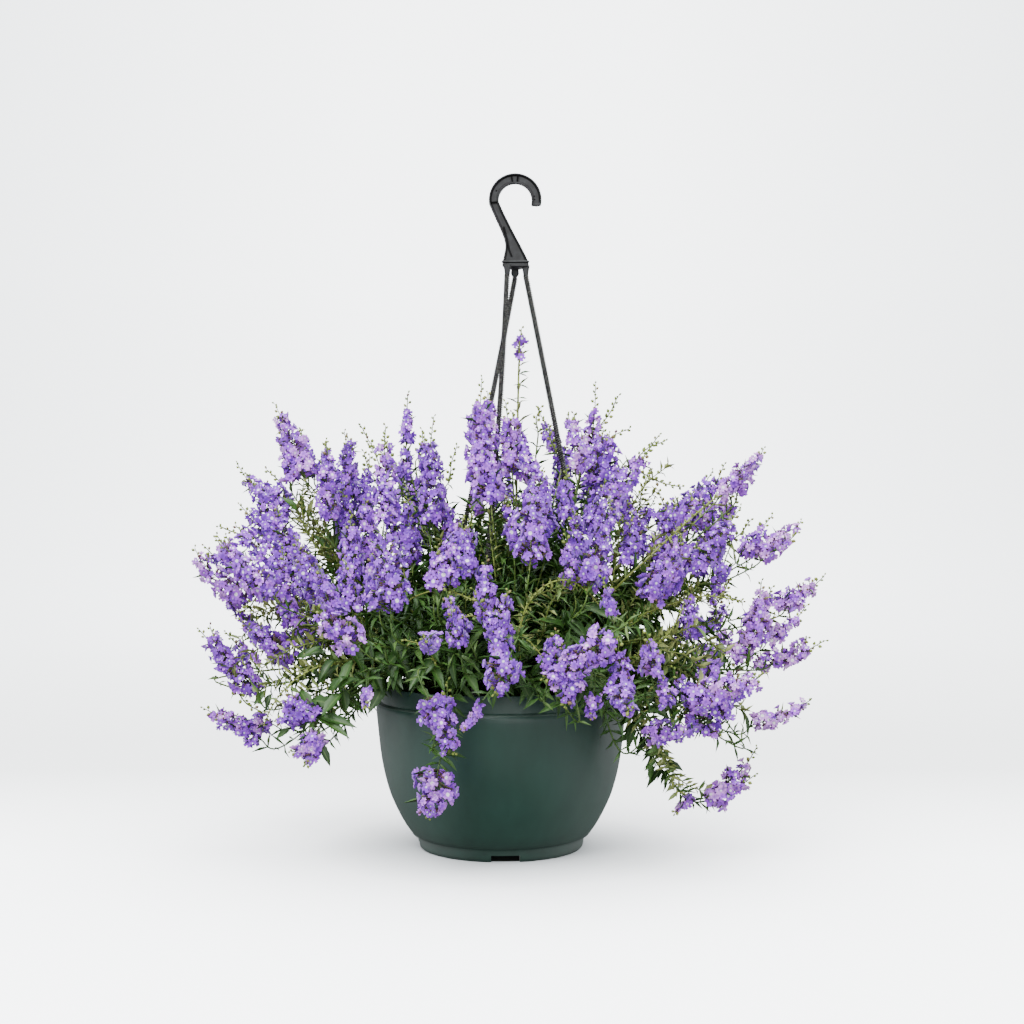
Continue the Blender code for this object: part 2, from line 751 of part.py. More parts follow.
def make_spikes(solid_trees, stem_trees, petal_shades):
    """Makes the spikes in order. A floret that would touch anything made before it is left off."""
    placed = []
    for number, (_, name, base, tip, _) in enumerate(SPIKES):

        def is_clear(corners, outline, throat):
            wide = [throat + (point - throat) * FLORET_CLEARANCE for point in outline]
            tree = tree_of(corners + wide + [throat], floret_faces([0, 1, 2, 3], list(range(4, 14)), 14))
            return not any(tree.overlap(other) for other in solid_trees + stem_trees + placed)

        points, faces = spike_shape(Vector(base) * MM, Vector(tip) * MM, number, is_clear)
        shade_round(add_object(name, points, faces, petal_shades[number % len(petal_shades)]), 60)
        placed.append(tree_of(points, faces))
    return placed


# Leaves


def leaf_points(root, along, normal, length, width, droop):
    """A lance-shaped blade: its outline from the root's left round the tip to the right, and two rib points."""
    side = normal.cross(along).normalized()

    def at(t, across, lift):
        return root + along * length * t + side * across * width / 2 + normal * (lift - droop * length * t * t)

    left = [at(t, -w, 0) for t, w in LEAF_EDGE]
    right = [at(t, w, 0) for t, w in reversed(LEAF_EDGE)]
    ribs = [at(LEAF_RIB, 0, LEAF_THICK / 2), at(LEAF_RIB, 0, -LEAF_THICK / 2)]
    return left + [at(1, 0, 0)] + right + ribs


def leaf_faces(cell, first):
    """Faces of a leaf that grows from a four-cornered cell of its stem."""
    a, b, c, d = cell
    count = 2 * len(LEAF_EDGE) + 1
    over = first + count
    under = over + 1
    rim = [first + k for k in range(count)]
    faces = [[a, rim[0], d], [b, c, rim[-1]]]
    upper = [d] + rim + [c]
    lower = [a] + rim + [b]
    for loop, middle, flip in ((upper, over, False), (lower, under, True)):
        for k in range(len(loop)):
            pair = [loop[k], loop[(k + 1) % len(loop)]]
            faces.append([middle] + (pair[::-1] if flip else pair))
    return faces


def grow_leaf(points, cell, along, draw, is_clear):
    """Tries a few leaves on a cell and returns the faces of the first that is clear, adding its points."""
    corners = [points[index] for index in cell]
    root = sum(corners, Vector()) / 4
    out = (corners[1] - corners[0]).cross(corners[3] - corners[0]).normalized()
    for attempt in range(LEAF_TRIES):
        lean = draw.uniform(*LEAF_LEANS)
        sway = along.cross(out) * draw.uniform(-LEAF_SWAYS, LEAF_SWAYS)
        direction = (out + along * lean + sway + Vector((0, 0, LEAF_RISES))).normalized()
        normal = (along - direction * along.dot(direction)).normalized()
        length = draw.uniform(*LEAF_LENGTH) * (1 - LEAF_SHORTER * attempt)
        width = LEAF_WIDTH * draw.uniform(*LEAF_WIDTH_VARIES)
        blade = leaf_points(root, direction, normal, length, width, draw.uniform(*LEAF_DROOPS))
        if is_clear(corners, blade):
            first = len(points)
            points += blade
            return leaf_faces(cell, first)
    return None


def leafy_stem(rings, leafy, line_draw, is_clear):
    """Points and faces of one stem, a slim tube with leaves grown from two sides of each node's cell."""
    points = [point for ring in rings for point in ring]
    faces = [list(range(STEM_SIDES))[::-1]]
    for level in range(len(rings) - 1):
        skip = line_draw.randrange(STEM_SIDES)
        for k in range(STEM_SIDES):
            after = (k + 1) % STEM_SIDES
            low = level * STEM_SIDES
            cell = [low + k, low + after, low + STEM_SIDES + after, low + STEM_SIDES + k]
            grown = None
            if level in leafy and k != skip:
                along = (rings[level + 1][0] - rings[level][0]).normalized()
                grown = grow_leaf(points, cell, along, line_draw, is_clear)
            faces += grown or [cell]
    top = (len(rings) - 1) * STEM_SIDES
    faces.append([top + k for k in range(STEM_SIDES)])
    return points, faces


def shoot_line(clump, offset, reach, height):
    """A short leafy shoot's middle line, from the stock out over the rim."""
    stock = bearing(CLUMPS[clump]) * STOCK_CIRCLE
    root = stock + Vector((0, 0, SHOOT_ROOT))
    end = bearing(CLUMPS[clump] + offset) * reach + Vector((0, 0, height))
    return through([root, root.lerp(end, 0.5) + Vector((0, 0, SHOOT_ARCH)), end], 6)


def make_plants(hard_pieces, foliage, petal_shades):
    """The leafy stems of each clump, joined at its stock, and the spikes that they carry."""
    draw = random.Random(41)
    solid_trees = []
    for piece in hard_pieces:
        shape = piece.data
        solid_trees.append(tree_of([v.co for v in shape.vertices], [list(p.vertices) for p in shape.polygons]))
    stems = []
    for clump, _, base, tip, passes in SPIKES:
        line = stem_line(clump, base, tip, passes, draw)
        nodes = 2 if line_length(line) < STEM_THREE_NODES else 3
        stems.append((clump, line, nodes, (Vector(tip) - Vector(base)).normalized()))
    for clump, shoots in SHOOTS.items():
        for offset, reach, height in shoots:
            line = shoot_line(clump, offset, reach, height)
            stems.append((clump, line, 2, (line[-1] - line[-2]).normalized()))
    ringed = []
    for number, (clump, line, nodes, end_along) in enumerate(stems):
        stations, leafy = stem_stations(line, nodes)
        ringed.append((clump, stem_rings(line, stations, STEM_TURN * number, end_along), leafy))
    stem_trees = [tube_tree(rings) for _, rings, _ in ringed]
    spike_trees = make_spikes(solid_trees, stem_trees[: len(SPIKES)], petal_shades)

    leaves = []
    pieces = {clump: [] for clump in CLUMPS}
    for number, (clump, rings, leafy) in enumerate(ringed):
        others = solid_trees + spike_trees + stem_trees[:number] + stem_trees[number + 1 :]
        own = []
        whole = []

        def is_clear(corners, blade):
            faces = leaf_faces([0, 1, 2, 3], 4)
            tree = tree_of(corners + blade, faces)
            bare = tree_of(blade, [[i - 4 for i in face] for face in faces if min(face) >= 4])
            if any(tree.overlap(other) for other in others + leaves):
                return False
            if any(bare.overlap(other) for other in own + [stem_trees[number]]):
                return False
            own.append(bare)
            whole.append(tree)
            return True

        points, faces = leafy_stem(rings, leafy, draw, is_clear)
        leaves += whole
        pieces[clump].append(add_object("stem", points, faces, foliage))
    for clump, middle in CLUMPS.items():
        place = bearing(middle) * STOCK_CIRCLE
        stock = prism(clump, place, STOCK_RADIUS, HOLE_BOTTOM + GAP, STOCK_TOP, STOCK_SIDES, foliage)
        boolean(stock, pieces[clump], "UNION")
        keep_largest_body(stock)


def main():
    clear_scene()
    green_plastic = plain_material("green_plastic", (0.028, 0.051, 0.040), 0.42)
    potting_soil = plain_material("potting_soil", (0.030, 0.018, 0.011), 0.95)
    charcoal_plastic = plain_material("charcoal_plastic", (0.062, 0.064, 0.068), 0.50)
    foliage = plain_material("foliage", (0.050, 0.120, 0.038), 0.60)
    petal_shades = [
        plain_material("violet_petals", (0.210, 0.095, 0.480), 0.60),
        plain_material("pale_violet_petals", (0.330, 0.190, 0.640), 0.60),
        plain_material("deep_violet_petals", (0.110, 0.045, 0.290), 0.60),
    ]
    hard_pieces = [
        make_basket(green_plastic, potting_soil),
        make_soil(potting_soil, potting_soil),
        make_hook(charcoal_plastic),
    ]
    for name, ear_bearing, rim_bearing, bow in STRANDS:
        hard_pieces.append(make_strand(name, ear_bearing, rim_bearing, bow, charcoal_plastic))
    make_plants(hard_pieces, foliage, petal_shades)


main()
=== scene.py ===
"""A potted angelonia in a green hanging basket, standing on a pale studio floor.

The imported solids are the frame, and each piece below takes the place of some of them with finer shapes and
real finishes. Metres, +Z up, the origin under the middle of the basket. The picture is 1024 x 1024 pixels.
"""

import json
import math
import random

import bpy
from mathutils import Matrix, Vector, noise

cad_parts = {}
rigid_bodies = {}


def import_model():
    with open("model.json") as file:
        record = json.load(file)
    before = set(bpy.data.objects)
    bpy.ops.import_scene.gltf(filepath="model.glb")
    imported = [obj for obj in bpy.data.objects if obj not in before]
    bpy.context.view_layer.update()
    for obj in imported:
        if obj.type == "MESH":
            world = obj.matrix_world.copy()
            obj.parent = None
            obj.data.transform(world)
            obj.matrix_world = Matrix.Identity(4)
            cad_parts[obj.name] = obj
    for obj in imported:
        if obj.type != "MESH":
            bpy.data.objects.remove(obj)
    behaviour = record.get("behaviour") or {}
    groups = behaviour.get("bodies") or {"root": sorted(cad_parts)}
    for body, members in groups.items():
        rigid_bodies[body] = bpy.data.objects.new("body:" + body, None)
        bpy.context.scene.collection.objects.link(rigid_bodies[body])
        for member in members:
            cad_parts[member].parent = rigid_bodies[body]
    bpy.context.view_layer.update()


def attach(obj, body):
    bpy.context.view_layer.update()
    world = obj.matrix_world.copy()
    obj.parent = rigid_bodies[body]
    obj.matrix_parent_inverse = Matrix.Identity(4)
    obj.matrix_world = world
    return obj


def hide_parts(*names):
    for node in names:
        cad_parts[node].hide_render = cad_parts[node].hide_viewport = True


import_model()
for start_object in [o for o in bpy.data.objects if o.name in ("Cube", "Light", "Camera")]:
    bpy.data.objects.remove(start_object, do_unlink=True)

# Camera
# It stands 1.5 m in front of the basket's axis and 31 cm above the floor, as in the photo, with a long lens.
# Its two small shifts put the axis 11 pixels left of the middle and the horizon 28 pixels below it.
PICTURE_SIDE = 1024
CAMERA_DISTANCE = 1.5
CAMERA_HEIGHT = 0.312
FOCAL_PIXELS = 1467
AXIS_PIXEL = (501, 540)
MM = 0.001

camera_data = bpy.data.cameras.new("photo_camera")
camera_data.sensor_width = 36
camera_data.lens = 36 * FOCAL_PIXELS / PICTURE_SIDE
camera_data.shift_x = (PICTURE_SIDE / 2 - AXIS_PIXEL[0]) / PICTURE_SIDE
camera_data.shift_y = (AXIS_PIXEL[1] - PICTURE_SIDE / 2) / PICTURE_SIDE
camera_data.dof.use_dof = False
camera = bpy.data.objects.new("photo_camera", camera_data)
camera.location = (0, -CAMERA_DISTANCE, CAMERA_HEIGHT)
camera.rotation_euler = (math.radians(90), 0, 0)
bpy.context.scene.collection.objects.link(camera)
bpy.context.scene.camera = camera


def seen_at(x, y, depth):
    """The place of a point seen at a pixel, this many millimetres behind the basket's axis."""
    scale = (CAMERA_DISTANCE * 1000 + depth) / FOCAL_PIXELS
    height = CAMERA_HEIGHT * 1000 + (AXIS_PIXEL[1] - y) * scale
    return Vector(((x - AXIS_PIXEL[0]) * scale, depth, height)) * MM


# Basket
# A thin-walled round tub, injection-moulded in dark green polypropylene, with a foot ring that has four
# drainage notches, a band round the rim and three lugs inside it that the hanger's strands clip into.
BASKET_SEGMENTS = 144
# The outside from the foot's edge to the band round the rim, then over the lip, as (radius, height) in mm
FOOT_OUTLINE = [
    (78.0, 0.6), (78.4, 0.0), (80.2, 0.0), (82.0, 0.7), (83.3, 2.2), (84.0, 4.4), (84.4, 8.0), (84.7, 10.8),
    (84.8, 11.8), (85.2, 12.6),
]
WALL_OUTLINE = [(90.4, 14.9), (98.5, 26.7), (107.2, 43.0), (114.6, 61.5), (121.7, 92.0), (127.0, 139.0)]
BAND_OUTLINE = [
    (127.1, 143.0), (126.7, 145.6), (125.6, 147.0), (123.0, 147.9), (122.1, 148.6), (121.9, 150.0),
]
LIP_OUTLINE = [(121.1, 163.8), (120.7, 164.7), (120.0, 165.0), (119.4, 164.7), (119.0, 163.8)]
INNER_OUTLINE = [(120.0, 149.4), (124.6, 145.0), (125.0, 139.0), (119.7, 92.0), (105.2, 43.0), (88.3, 16.0)]
FLOOR_OUTLINE = [(83.0, 12.9), (0.0, 12.9), (0.0, 10.4), (77.2, 10.4), (78.0, 9.6)]
NOTCH_BEARINGS = [-87, 3, 93, 183]
NOTCH_RADII = (0.074, 0.088)
NOTCH_WIDTH = 0.028
NOTCH_HEIGHTS = (-0.002, 0.0070)
DRAIN_BEARINGS = [30, 120, 210, 300]
DRAIN_CIRCLE = 0.058
DRAIN_RADIUS = 0.005
DRAIN_HEIGHTS = (0.008, 0.0165)
LUG_BEARINGS = [-104, 136, 16]
LUG_CIRCLE = 0.112
LUG_ROOT = 0.1198
LUG_BOTTOM = 0.1525
LUG_TOP = 0.1555
LUG_RADIUS = 0.007
LUG_HOLE = 0.0026
# The edge under the band, half its width, and how much paler it is painted, as a painted highlight on the
# ledge
SHOULDER_EDGE = 0.1470
EDGE_HALF = 0.0009
EDGE_PAINTED_HIGHLIGHT = 0.12


def linear(code):
    """An sRGB hex colour as the linear colour that shaders use."""
    shares = [int(code[k : k + 2], 16) / 255 for k in (1, 3, 5)]
    return tuple(s / 12.92 if s <= 0.04045 else ((s + 0.055) / 1.055) ** 2.4 for s in shares) + (1.0,)


def feed(node, inputs):
    """Sets a node's inputs, or links them where the value is another node's output."""
    for key, value in inputs.items():
        if isinstance(value, bpy.types.NodeSocket):
            node.id_data.links.new(value, node.inputs[key])
        else:
            node.inputs[key].default_value = value


def add_node(tree, kind, inputs=None, stops=(), **settings):
    """Adds a node with its settings, inputs and ramp stops, as (place, hex colour), and gives its outputs."""
    made = tree.nodes.new(kind)
    for title, value in settings.items():
        setattr(made, title, value)
    feed(made, inputs or {})
    if stops:
        while len(made.color_ramp.elements) < len(stops):
            made.color_ramp.elements.new(0.5)
        for element, (share, code) in zip(made.color_ramp.elements, stops):
            element.position = share
            element.color = linear(code)
    return made.outputs


def new_material(name, roughness, ior=1.5):
    """A material with its tree, its surface shader and the place on the object that its patterns read."""
    made = bpy.data.materials.new(name)
    made.use_nodes = True
    tree = made.node_tree
    surface = tree.nodes["Principled BSDF"]
    feed(surface, {"Roughness": roughness, "IOR": ior})
    return made, tree, surface, add_node(tree, "ShaderNodeTexCoord")["Object"]


def laid_over(tree, below, code, value, start=None, end=None, share=1.0, least=0.0):
    """A colour laid over another one, as far as a value goes or, where they are given, from start to end."""
    if start is not None:
        ends = {"Value": value, "From Min": start, "From Max": end, "To Min": least, "To Max": share}
        value = add_node(tree, "ShaderNodeMapRange", ends)["Result"]
    mixing = {"Factor": value, "A": below, "B": linear(code)}
    return add_node(tree, "ShaderNodeMix", mixing, data_type="RGBA")["Result"]


def uneven_sheen(tree, surface, value, smooth, rough):
    """Lets a surface's roughness follow a noise between two values."""
    ends = {"Value": value, "From Min": 0.3, "From Max": 0.7, "To Min": smooth, "To Max": rough}
    feed(surface, {"Roughness": add_node(tree, "ShaderNodeMapRange", ends)["Result"]})


def grained(tree, surface, place, scale, detail, strength, depth, **more):
    """Raises a grain on a surface, and gives the noise that it follows."""
    inputs = {"Vector": place, "Scale": scale, "Detail": detail, **more}
    grain = add_node(tree, "ShaderNodeTexNoise", inputs)["Fac"]
    bump = add_node(tree, "ShaderNodeBump", {"Height": grain, "Strength": strength, "Distance": depth})
    feed(surface, {"Normal": bump["Normal"]})
    return grain


def bearing(degrees):
    return Vector((math.cos(math.radians(degrees)), math.sin(math.radians(degrees)), 0))


def through(points, steps):
    """A smooth line through the points."""
    padded = [points[0] * 2 - points[1]] + list(points) + [points[-1] * 2 - points[-2]]
    line = []
    for k in range(1, len(padded) - 2):
        a, b, c, d = padded[k - 1 : k + 3]
        square = a - b * 2.5 + c * 2 - d / 2
        cube = b * 1.5 - a / 2 - c * 1.5 + d / 2
        for t in [step / steps for step in range(steps)]:
            line.append(b + (c - a) * (t / 2) + square * t**2 + cube * t**3)
    return line + [points[-1]]


def new_object(name, points, faces, edges=()):
    mesh = bpy.data.meshes.new(name)
    mesh.from_pydata([tuple(point) for point in points], list(edges), faces)
    mesh.validate()
    made = bpy.data.objects.new(name, mesh)
    bpy.context.scene.collection.objects.link(made)
    return made


def turned(name, profile, segments):
    """A closed turned solid from (radius, height) points, up the outside and back down the middle."""
    points = []
    rings = []
    for radius, height in profile:
        if radius == 0:
            rings.append([len(points)] * segments)
            points.append((0, 0, height))
            continue
        rings.append(list(range(len(points), len(points) + segments)))
        points += [bearing(360 * k / segments) * radius + Vector((0, 0, height)) for k in range(segments)]
    faces = []
    for below, above in zip(rings, rings[1:] + rings[:1]):
        for k in range(segments):
            after = (k + 1) % segments
            faces.append(list(dict.fromkeys([below[k], below[after], above[after], above[k]])))
    return new_object(name, points, [face for face in faces if len(face) > 2])


def loft(name, rings):
    """A closed solid through rings of points, each ring counter-clockwise seen from the last one."""
    count = len(rings[0])
    faces = [list(range(count))[::-1]]
    for low in range(0, (len(rings) - 1) * count, count):
        for k in range(count):
            after = (k + 1) % count
            faces.append([low + k, low + after, low + count + after, low + count + k])
    faces.append([(len(rings) - 1) * count + k for k in range(count)])
    return new_object(name, [point for ring in rings for point in ring], faces)


def prism(name, outline, low, high):
    """A closed upright block over an outline."""
    return loft(name, [[point + Vector((0, 0, z)) for point in outline] for z in (low, high)])


def as_plain_mesh(target):
    """Replaces an object's mesh by what its modifiers make of it, and removes them."""
    graph = bpy.context.evaluated_depsgraph_get()
    target.data = bpy.data.meshes.new_from_object(target.evaluated_get(graph))
    target.modifiers.clear()
    target.data.name = target.name


def group_of(name, shapes):
    """A collection, outside the scene, of shapes that are used together."""
    made = bpy.data.collections.new(name)
    for shape in shapes:
        bpy.context.scene.collection.objects.unlink(shape)
        made.objects.link(shape)
    return made


def drop_group(group):
    for shape in list(group.objects):
        bpy.data.objects.remove(shape, do_unlink=True)
    bpy.data.collections.remove(group)


def boolean(target, tools, operation):
    """Joins or cuts the target with the tools in one step, and removes the tools."""
    group = group_of(target.name + "_tools", tools)
    bpy.context.scene.collection.children.link(group)
    step = target.modifiers.new(operation.lower(), "BOOLEAN")
    step.operation = operation
    step.operand_type = "COLLECTION"
    step.collection = group
    step.solver = "EXACT"
    as_plain_mesh(target)
    drop_group(group)


def shade_round(target, degrees):
    target.data.shade_smooth()
    target.data.set_sharp_from_angle(angle=math.radians(degrees))


def finish_piece(piece, material, slot, *nodes):
    """Gives a piece its finish, and ties it to the solids that it stands for."""
    piece.data.materials.clear()
    piece.data.materials.append(material)
    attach(piece, "root")
    if nodes:
        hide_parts(*nodes)


# Polypropylene with an even satin skin from the mould: a soft sheen, faint flow marks up the wall about
# 30 mm long, a very fine grain of about 0.8 mm, the foot painted darker in patches near the floor as painted
# shade, and the edge under the band painted pale as a painted highlight on the ledge.
green_plastic, tree, surface, place = new_material("moulded_green_polypropylene", 0.44)
flow_place = add_node(tree, "ShaderNodeMapping", {"Vector": place, "Scale": (60, 60, 14)})["Vector"]
flow = add_node(tree, "ShaderNodeTexNoise", {"Vector": flow_place, "Scale": 1.0, "Detail": 3})["Fac"]
greens = [(0.30, "#1e3a32"), (0.55, "#203e35"), (0.75, "#234138")]
colour = add_node(tree, "ShaderNodeValToRGB", {"Fac": flow}, greens)["Color"]
height = add_node(tree, "ShaderNodeSeparateXYZ", {"Vector": place})["Z"]
# Painted shade: the foot is darkened in noisy patches towards the floor.
ends = {"Value": height, "From Min": 0.028, "From Max": 0.0, "To Min": 0.0, "To Max": 0.9}
near_floor = add_node(tree, "ShaderNodeMapRange", ends)["Result"]
foot_shade_patches = add_node(tree, "ShaderNodeTexNoise", {"Vector": place, "Scale": 90.0, "Detail": 5})["Fac"]
painted_foot_shade = add_node(tree, "ShaderNodeMath", {0: near_floor, 1: foot_shade_patches}, operation="MULTIPLY")["Value"]
colour = laid_over(tree, colour, "#141c17", painted_foot_shade)
# Painted highlight: a thin band at the ledge's height is painted paler.
band = {0: height, 1: SHOULDER_EDGE, 2: EDGE_HALF}
ledge = add_node(tree, "ShaderNodeMath", band, operation="COMPARE")["Value"]
painted_edge_highlight = add_node(tree, "ShaderNodeMath", {0: ledge, 1: EDGE_PAINTED_HIGHLIGHT}, operation="MULTIPLY")["Value"]
feed(surface, {"Base Color": laid_over(tree, colour, "#a9b4aa", painted_edge_highlight)})
sheen = add_node(tree, "ShaderNodeTexNoise", {"Vector": place, "Scale": 35.0, "Detail": 4})["Fac"]
uneven_sheen(tree, surface, sheen, 0.41, 0.47)
grained(tree, surface, place, 1200.0, 2, 0.10, 0.0003)

wall_line = through([Vector((r, 0, z)) for r, z in WALL_OUTLINE], 4)
outline = FOOT_OUTLINE + [(point.x, point.z) for point in wall_line]
outline += BAND_OUTLINE + LIP_OUTLINE + INNER_OUTLINE + FLOOR_OUTLINE
basket = turned("basket", [(r * MM, z * MM) for r, z in outline], BASKET_SEGMENTS)
lugs = []
cutters = []
for turn in NOTCH_BEARINGS:
    inside, outside = [bearing(turn) * radius for radius in NOTCH_RADII]
    across = bearing(turn + 90) * NOTCH_WIDTH / 2
    base = [inside - across, outside - across, outside + across, inside + across]
    cutters.append(prism("notch", base, *NOTCH_HEIGHTS))
for turn in DRAIN_BEARINGS:
    base = [bearing(turn) * DRAIN_CIRCLE + bearing(15 * k) * DRAIN_RADIUS for k in range(24)]
    cutters.append(prism("drain", base, *DRAIN_HEIGHTS))
for turn in LUG_BEARINGS:
    out = bearing(turn)
    across = bearing(turn + 90)
    rim = [out * LUG_ROOT - across * LUG_RADIUS, out * LUG_ROOT + across * LUG_RADIUS]
    for angle in [math.radians(90 + 15 * k) for k in range(13)]:
        rim.append(out * (LUG_CIRCLE + math.cos(angle) * LUG_RADIUS) + across * math.sin(angle) * LUG_RADIUS)
    lugs.append(prism("lug", rim, LUG_BOTTOM, LUG_TOP))
    base = [bearing(turn) * LUG_CIRCLE + bearing(20 * k) * LUG_HOLE for k in range(18)]
    cutters.append(prism("hole", base, LUG_BOTTOM - 0.001, LUG_TOP + 0.001))
boolean(basket, lugs, "UNION")
boolean(basket, cutters, "DIFFERENCE")
shade_round(basket, 32)
finish_piece(basket, green_plastic, "green_plastic", "pot")

# Potting soil
# A moist mix of peat and fine bark that fills the tub to about 15 mm under the rim, a little heaped in the
# middle where the six young plants were set, with an uneven surface.
SOIL_SEGMENTS = 96
SOIL_OUTLINE = [(82.0, 13.2), (104.9, 43.3), (119.4, 92.3), (123.9, 137.0), (123.5, 139.0)]
SOIL_RINGS = [118, 112, 105, 98, 90, 82, 74, 66, 58, 50, 42, 34, 26, 18, 10, 5]
SOIL_FOOT = 0.0108
SOIL_TOP = 0.150
SOIL_ROUGHNESS = 0.0028


def soil_height(x, y):
    """Height of the soil's surface, in metres, with lumps of about 12 mm and 4 mm."""
    radius = math.hypot(x, y)
    heap = SOIL_TOP - 0.0105 * (radius / 0.1235) ** 3
    coarse = noise.noise(Vector((x, y, 0)) * 80) * SOIL_ROUGHNESS
    return heap + coarse + noise.noise(Vector((x, y, 3)) * 260) * SOIL_ROUGHNESS * 0.5


# Peat: nearly black-brown and matt, with fibres and crumbs of 1 to 4 mm that catch a little light.
peat, tree, surface, place = new_material("moist_peat", 0.92)
crumbs = grained(tree, surface, place, 320.0, 6, 0.9, 0.0015, Roughness=0.7)
browns = [(0.35, "#1c130d"), (0.52, "#33241a"), (0.70, "#5a4433")]
feed(surface, {"Base Color": add_node(tree, "ShaderNodeValToRGB", {"Fac": crumbs}, browns)["Color"]})

profile = [(r * MM, z * MM) for r, z in SOIL_OUTLINE] + [(r * MM, SOIL_TOP) for r in SOIL_RINGS]
soil = turned("soil_bed", profile + [(0, SOIL_TOP), (0, SOIL_FOOT)], SOIL_SEGMENTS)
for corner in soil.data.vertices:
    if corner.co.z > SOIL_TOP - 0.0005:
        corner.co.z = soil_height(corner.co.x, corner.co.y)
shade_round(soil, 60)
finish_piece(soil, peat, "potting_soil", "soil")

# Bark chips and perlite
# Coarse pieces of the mix that lie on the surface: brown bark chips of 3 to 8 mm and white perlite beads.
# They are strewn by a rule with a fixed seed.
CHIP_SPACING = 0.0066
CHIP_DENSITY = 60000.0
CHIP_SEED = 5
CHIP_SHAPES = 10


def mark(target, title, values, kind="FLOAT", domain="POINT", key="value"):
    """Stores a named value on each point or edge of an object."""
    target.data.attributes.new(title, kind, domain).data.foreach_set(key, values)


def new_tree(name, inputs):
    """An empty geometry tree with named inputs, given as (name, socket kind), and its two end nodes."""
    made = bpy.data.node_groups.new(name, "GeometryNodeTree")
    for title, kind in [("Geometry", "Geometry")] + inputs + [("Finish", "Material")]:
        made.interface.new_socket(title, in_out="INPUT", socket_type="NodeSocket" + kind)
    made.interface.new_socket("Geometry", in_out="OUTPUT", socket_type="NodeSocketGeometry")
    return made, add_node(made, "NodeGroupInput"), made.nodes.new("NodeGroupOutput")


def end_tree(tree, given, result, geometry):
    """Makes what a tree repeats real, gives it its finish and hands it on."""
    real = add_node(tree, "GeometryNodeRealizeInstances", {"Geometry": geometry})["Geometry"]
    dressed = add_node(tree, "GeometryNodeSetMaterial", {"Geometry": real, "Material": given["Finish"]})
    feed(result, {"Geometry": dressed["Geometry"]})


def set_shapes(tree, given, result, points, rotation, scale, tone):
    """Sets one of the shapes, picked by chance, on each point with its tone, and ends the tree."""
    picking = {4: 0, 5: given["Last Shape"], "Seed": given["Seed"]}
    choosing = {"Collection": given["Shapes"], "Separate Children": True, "Reset Children": True}
    setting = {
        "Points": points,
        "Instance": add_node(tree, "GeometryNodeCollectionInfo", choosing)["Instances"],
        "Pick Instance": True,
        "Instance Index": add_node(tree, "FunctionNodeRandomValue", picking, data_type="INT")[2],
        "Rotation": rotation,
        "Scale": scale,
    }
    copies = add_node(tree, "GeometryNodeInstanceOnPoints", setting)["Instances"]
    toning = {"Geometry": copies, "Name": "tone", "Value": tone}
    toned = add_node(tree, "GeometryNodeStoreNamedAttribute", toning, data_type="FLOAT", domain="INSTANCE")
    end_tree(tree, given, result, toned["Geometry"])


def run_tree(target, tree, values):
    """Runs a geometry tree on an object, with its inputs by name, and keeps the result as a plain mesh."""
    step = target.modifiers.new(tree.name, "NODES")
    step.node_group = tree
    for item in tree.interface.items_tree:
        if item.in_out == "INPUT" and item.name in values:
            step[item.identifier] = values[item.name]
    as_plain_mesh(target)


def disc(name, centre, rings):
    """An open surface from a middle point out through rings of points, seen from above."""
    count = len(rings[0])
    faces = []
    for k in range(len(rings) * count):
        after = k + 1 if (k + 1) % count else k + 1 - count
        strip = [1 + k - count, 1 + k, 1 + after, 1 + after - count]
        faces.append(strip if k >= count else [0, 1 + k, 1 + after])
    return new_object(name, [centre] + [point for ring in rings for point in ring], faces)


strewing, given, result = new_tree(
    "strew_over_surface",
    [("Shapes", "Collection"), ("Last Shape", "Int"), ("Spacing", "Float"), ("Smallest", "Float"),
     ("Largest", "Float"), ("Seed", "Int")],
)
spreading = {"Mesh": given["Geometry"], "Distance Min": given["Spacing"], "Density Max": CHIP_DENSITY}
spread = add_node(
    strewing,
    "GeometryNodeDistributePointsOnFaces",
    {**spreading, "Seed": given["Seed"]},
    distribute_method="POISSON",
)["Points"]
leaning = {0: (-0.5, -0.5, 0.0), 1: (0.5, 0.5, 6.283), "Seed": given["Seed"]}
turning = add_node(strewing, "FunctionNodeRandomValue", leaning, data_type="FLOAT_VECTOR")[0]
sizes = {2: given["Smallest"], 3: given["Largest"], "Seed": given["Seed"]}
sizing = add_node(strewing, "FunctionNodeRandomValue", sizes, data_type="FLOAT")[1]
set_shapes(strewing, given, result, spread, turning, sizing, sizing)

# Pine bark: red-brown broken faces, matt; a few beads of expanded perlite are off-white and chalky.
bark, tree, surface, place = new_material("bark_and_perlite", 0.85)
chalk = add_node(tree, "ShaderNodeAttribute", attribute_name="chalk")["Fac"]
fibre = add_node(tree, "ShaderNodeTexNoise", {"Vector": place, "Scale": 450.0, "Detail": 4})["Fac"]
browns = [(0.35, "#24160e"), (0.55, "#4a2f1e"), (0.75, "#7a553a")]
brown = add_node(tree, "ShaderNodeValToRGB", {"Fac": fibre}, browns)["Color"]
feed(surface, {"Base Color": laid_over(tree, brown, "#cfc9bc", chalk)})

draw = random.Random(11)
shapes = []
for number in range(CHIP_SHAPES):
    chalky = number == CHIP_SHAPES - 1
    long, wide, thick = (0.0012, 0.0011, 0.0010) if chalky else (draw.uniform(0.002, 0.0042), 0.0016, 0.0007)
    angles = [math.tau * k / 7 for k in range(7)]
    ring = [Vector((math.cos(a) * long, math.sin(a) * wide, 0)) * draw.uniform(0.75, 1.2) for a in angles]
    up = Vector((0, 0, thick))
    chip = loft("chip_%d" % number, [[p * 0.8 - up for p in ring], ring, [p * 0.7 + up for p in ring]])
    mark(chip, "chalk", [float(chalky)] * len(chip.data.vertices))
    shapes.append(chip)
chip_group = group_of("chips", shapes)
rings = [[bearing(7.5 * k) * (0.006 + 0.0073 * level) for k in range(48)] for level in range(16)]
rings = [[(spot.x, spot.y, soil_height(spot.x, spot.y)) for spot in ring] for ring in rings]
chips = disc("bark_chips", (0, 0, soil_height(0, 0)), rings)
sizes = {"Spacing": CHIP_SPACING, "Smallest": 0.6, "Largest": 1.1, "Seed": CHIP_SEED}
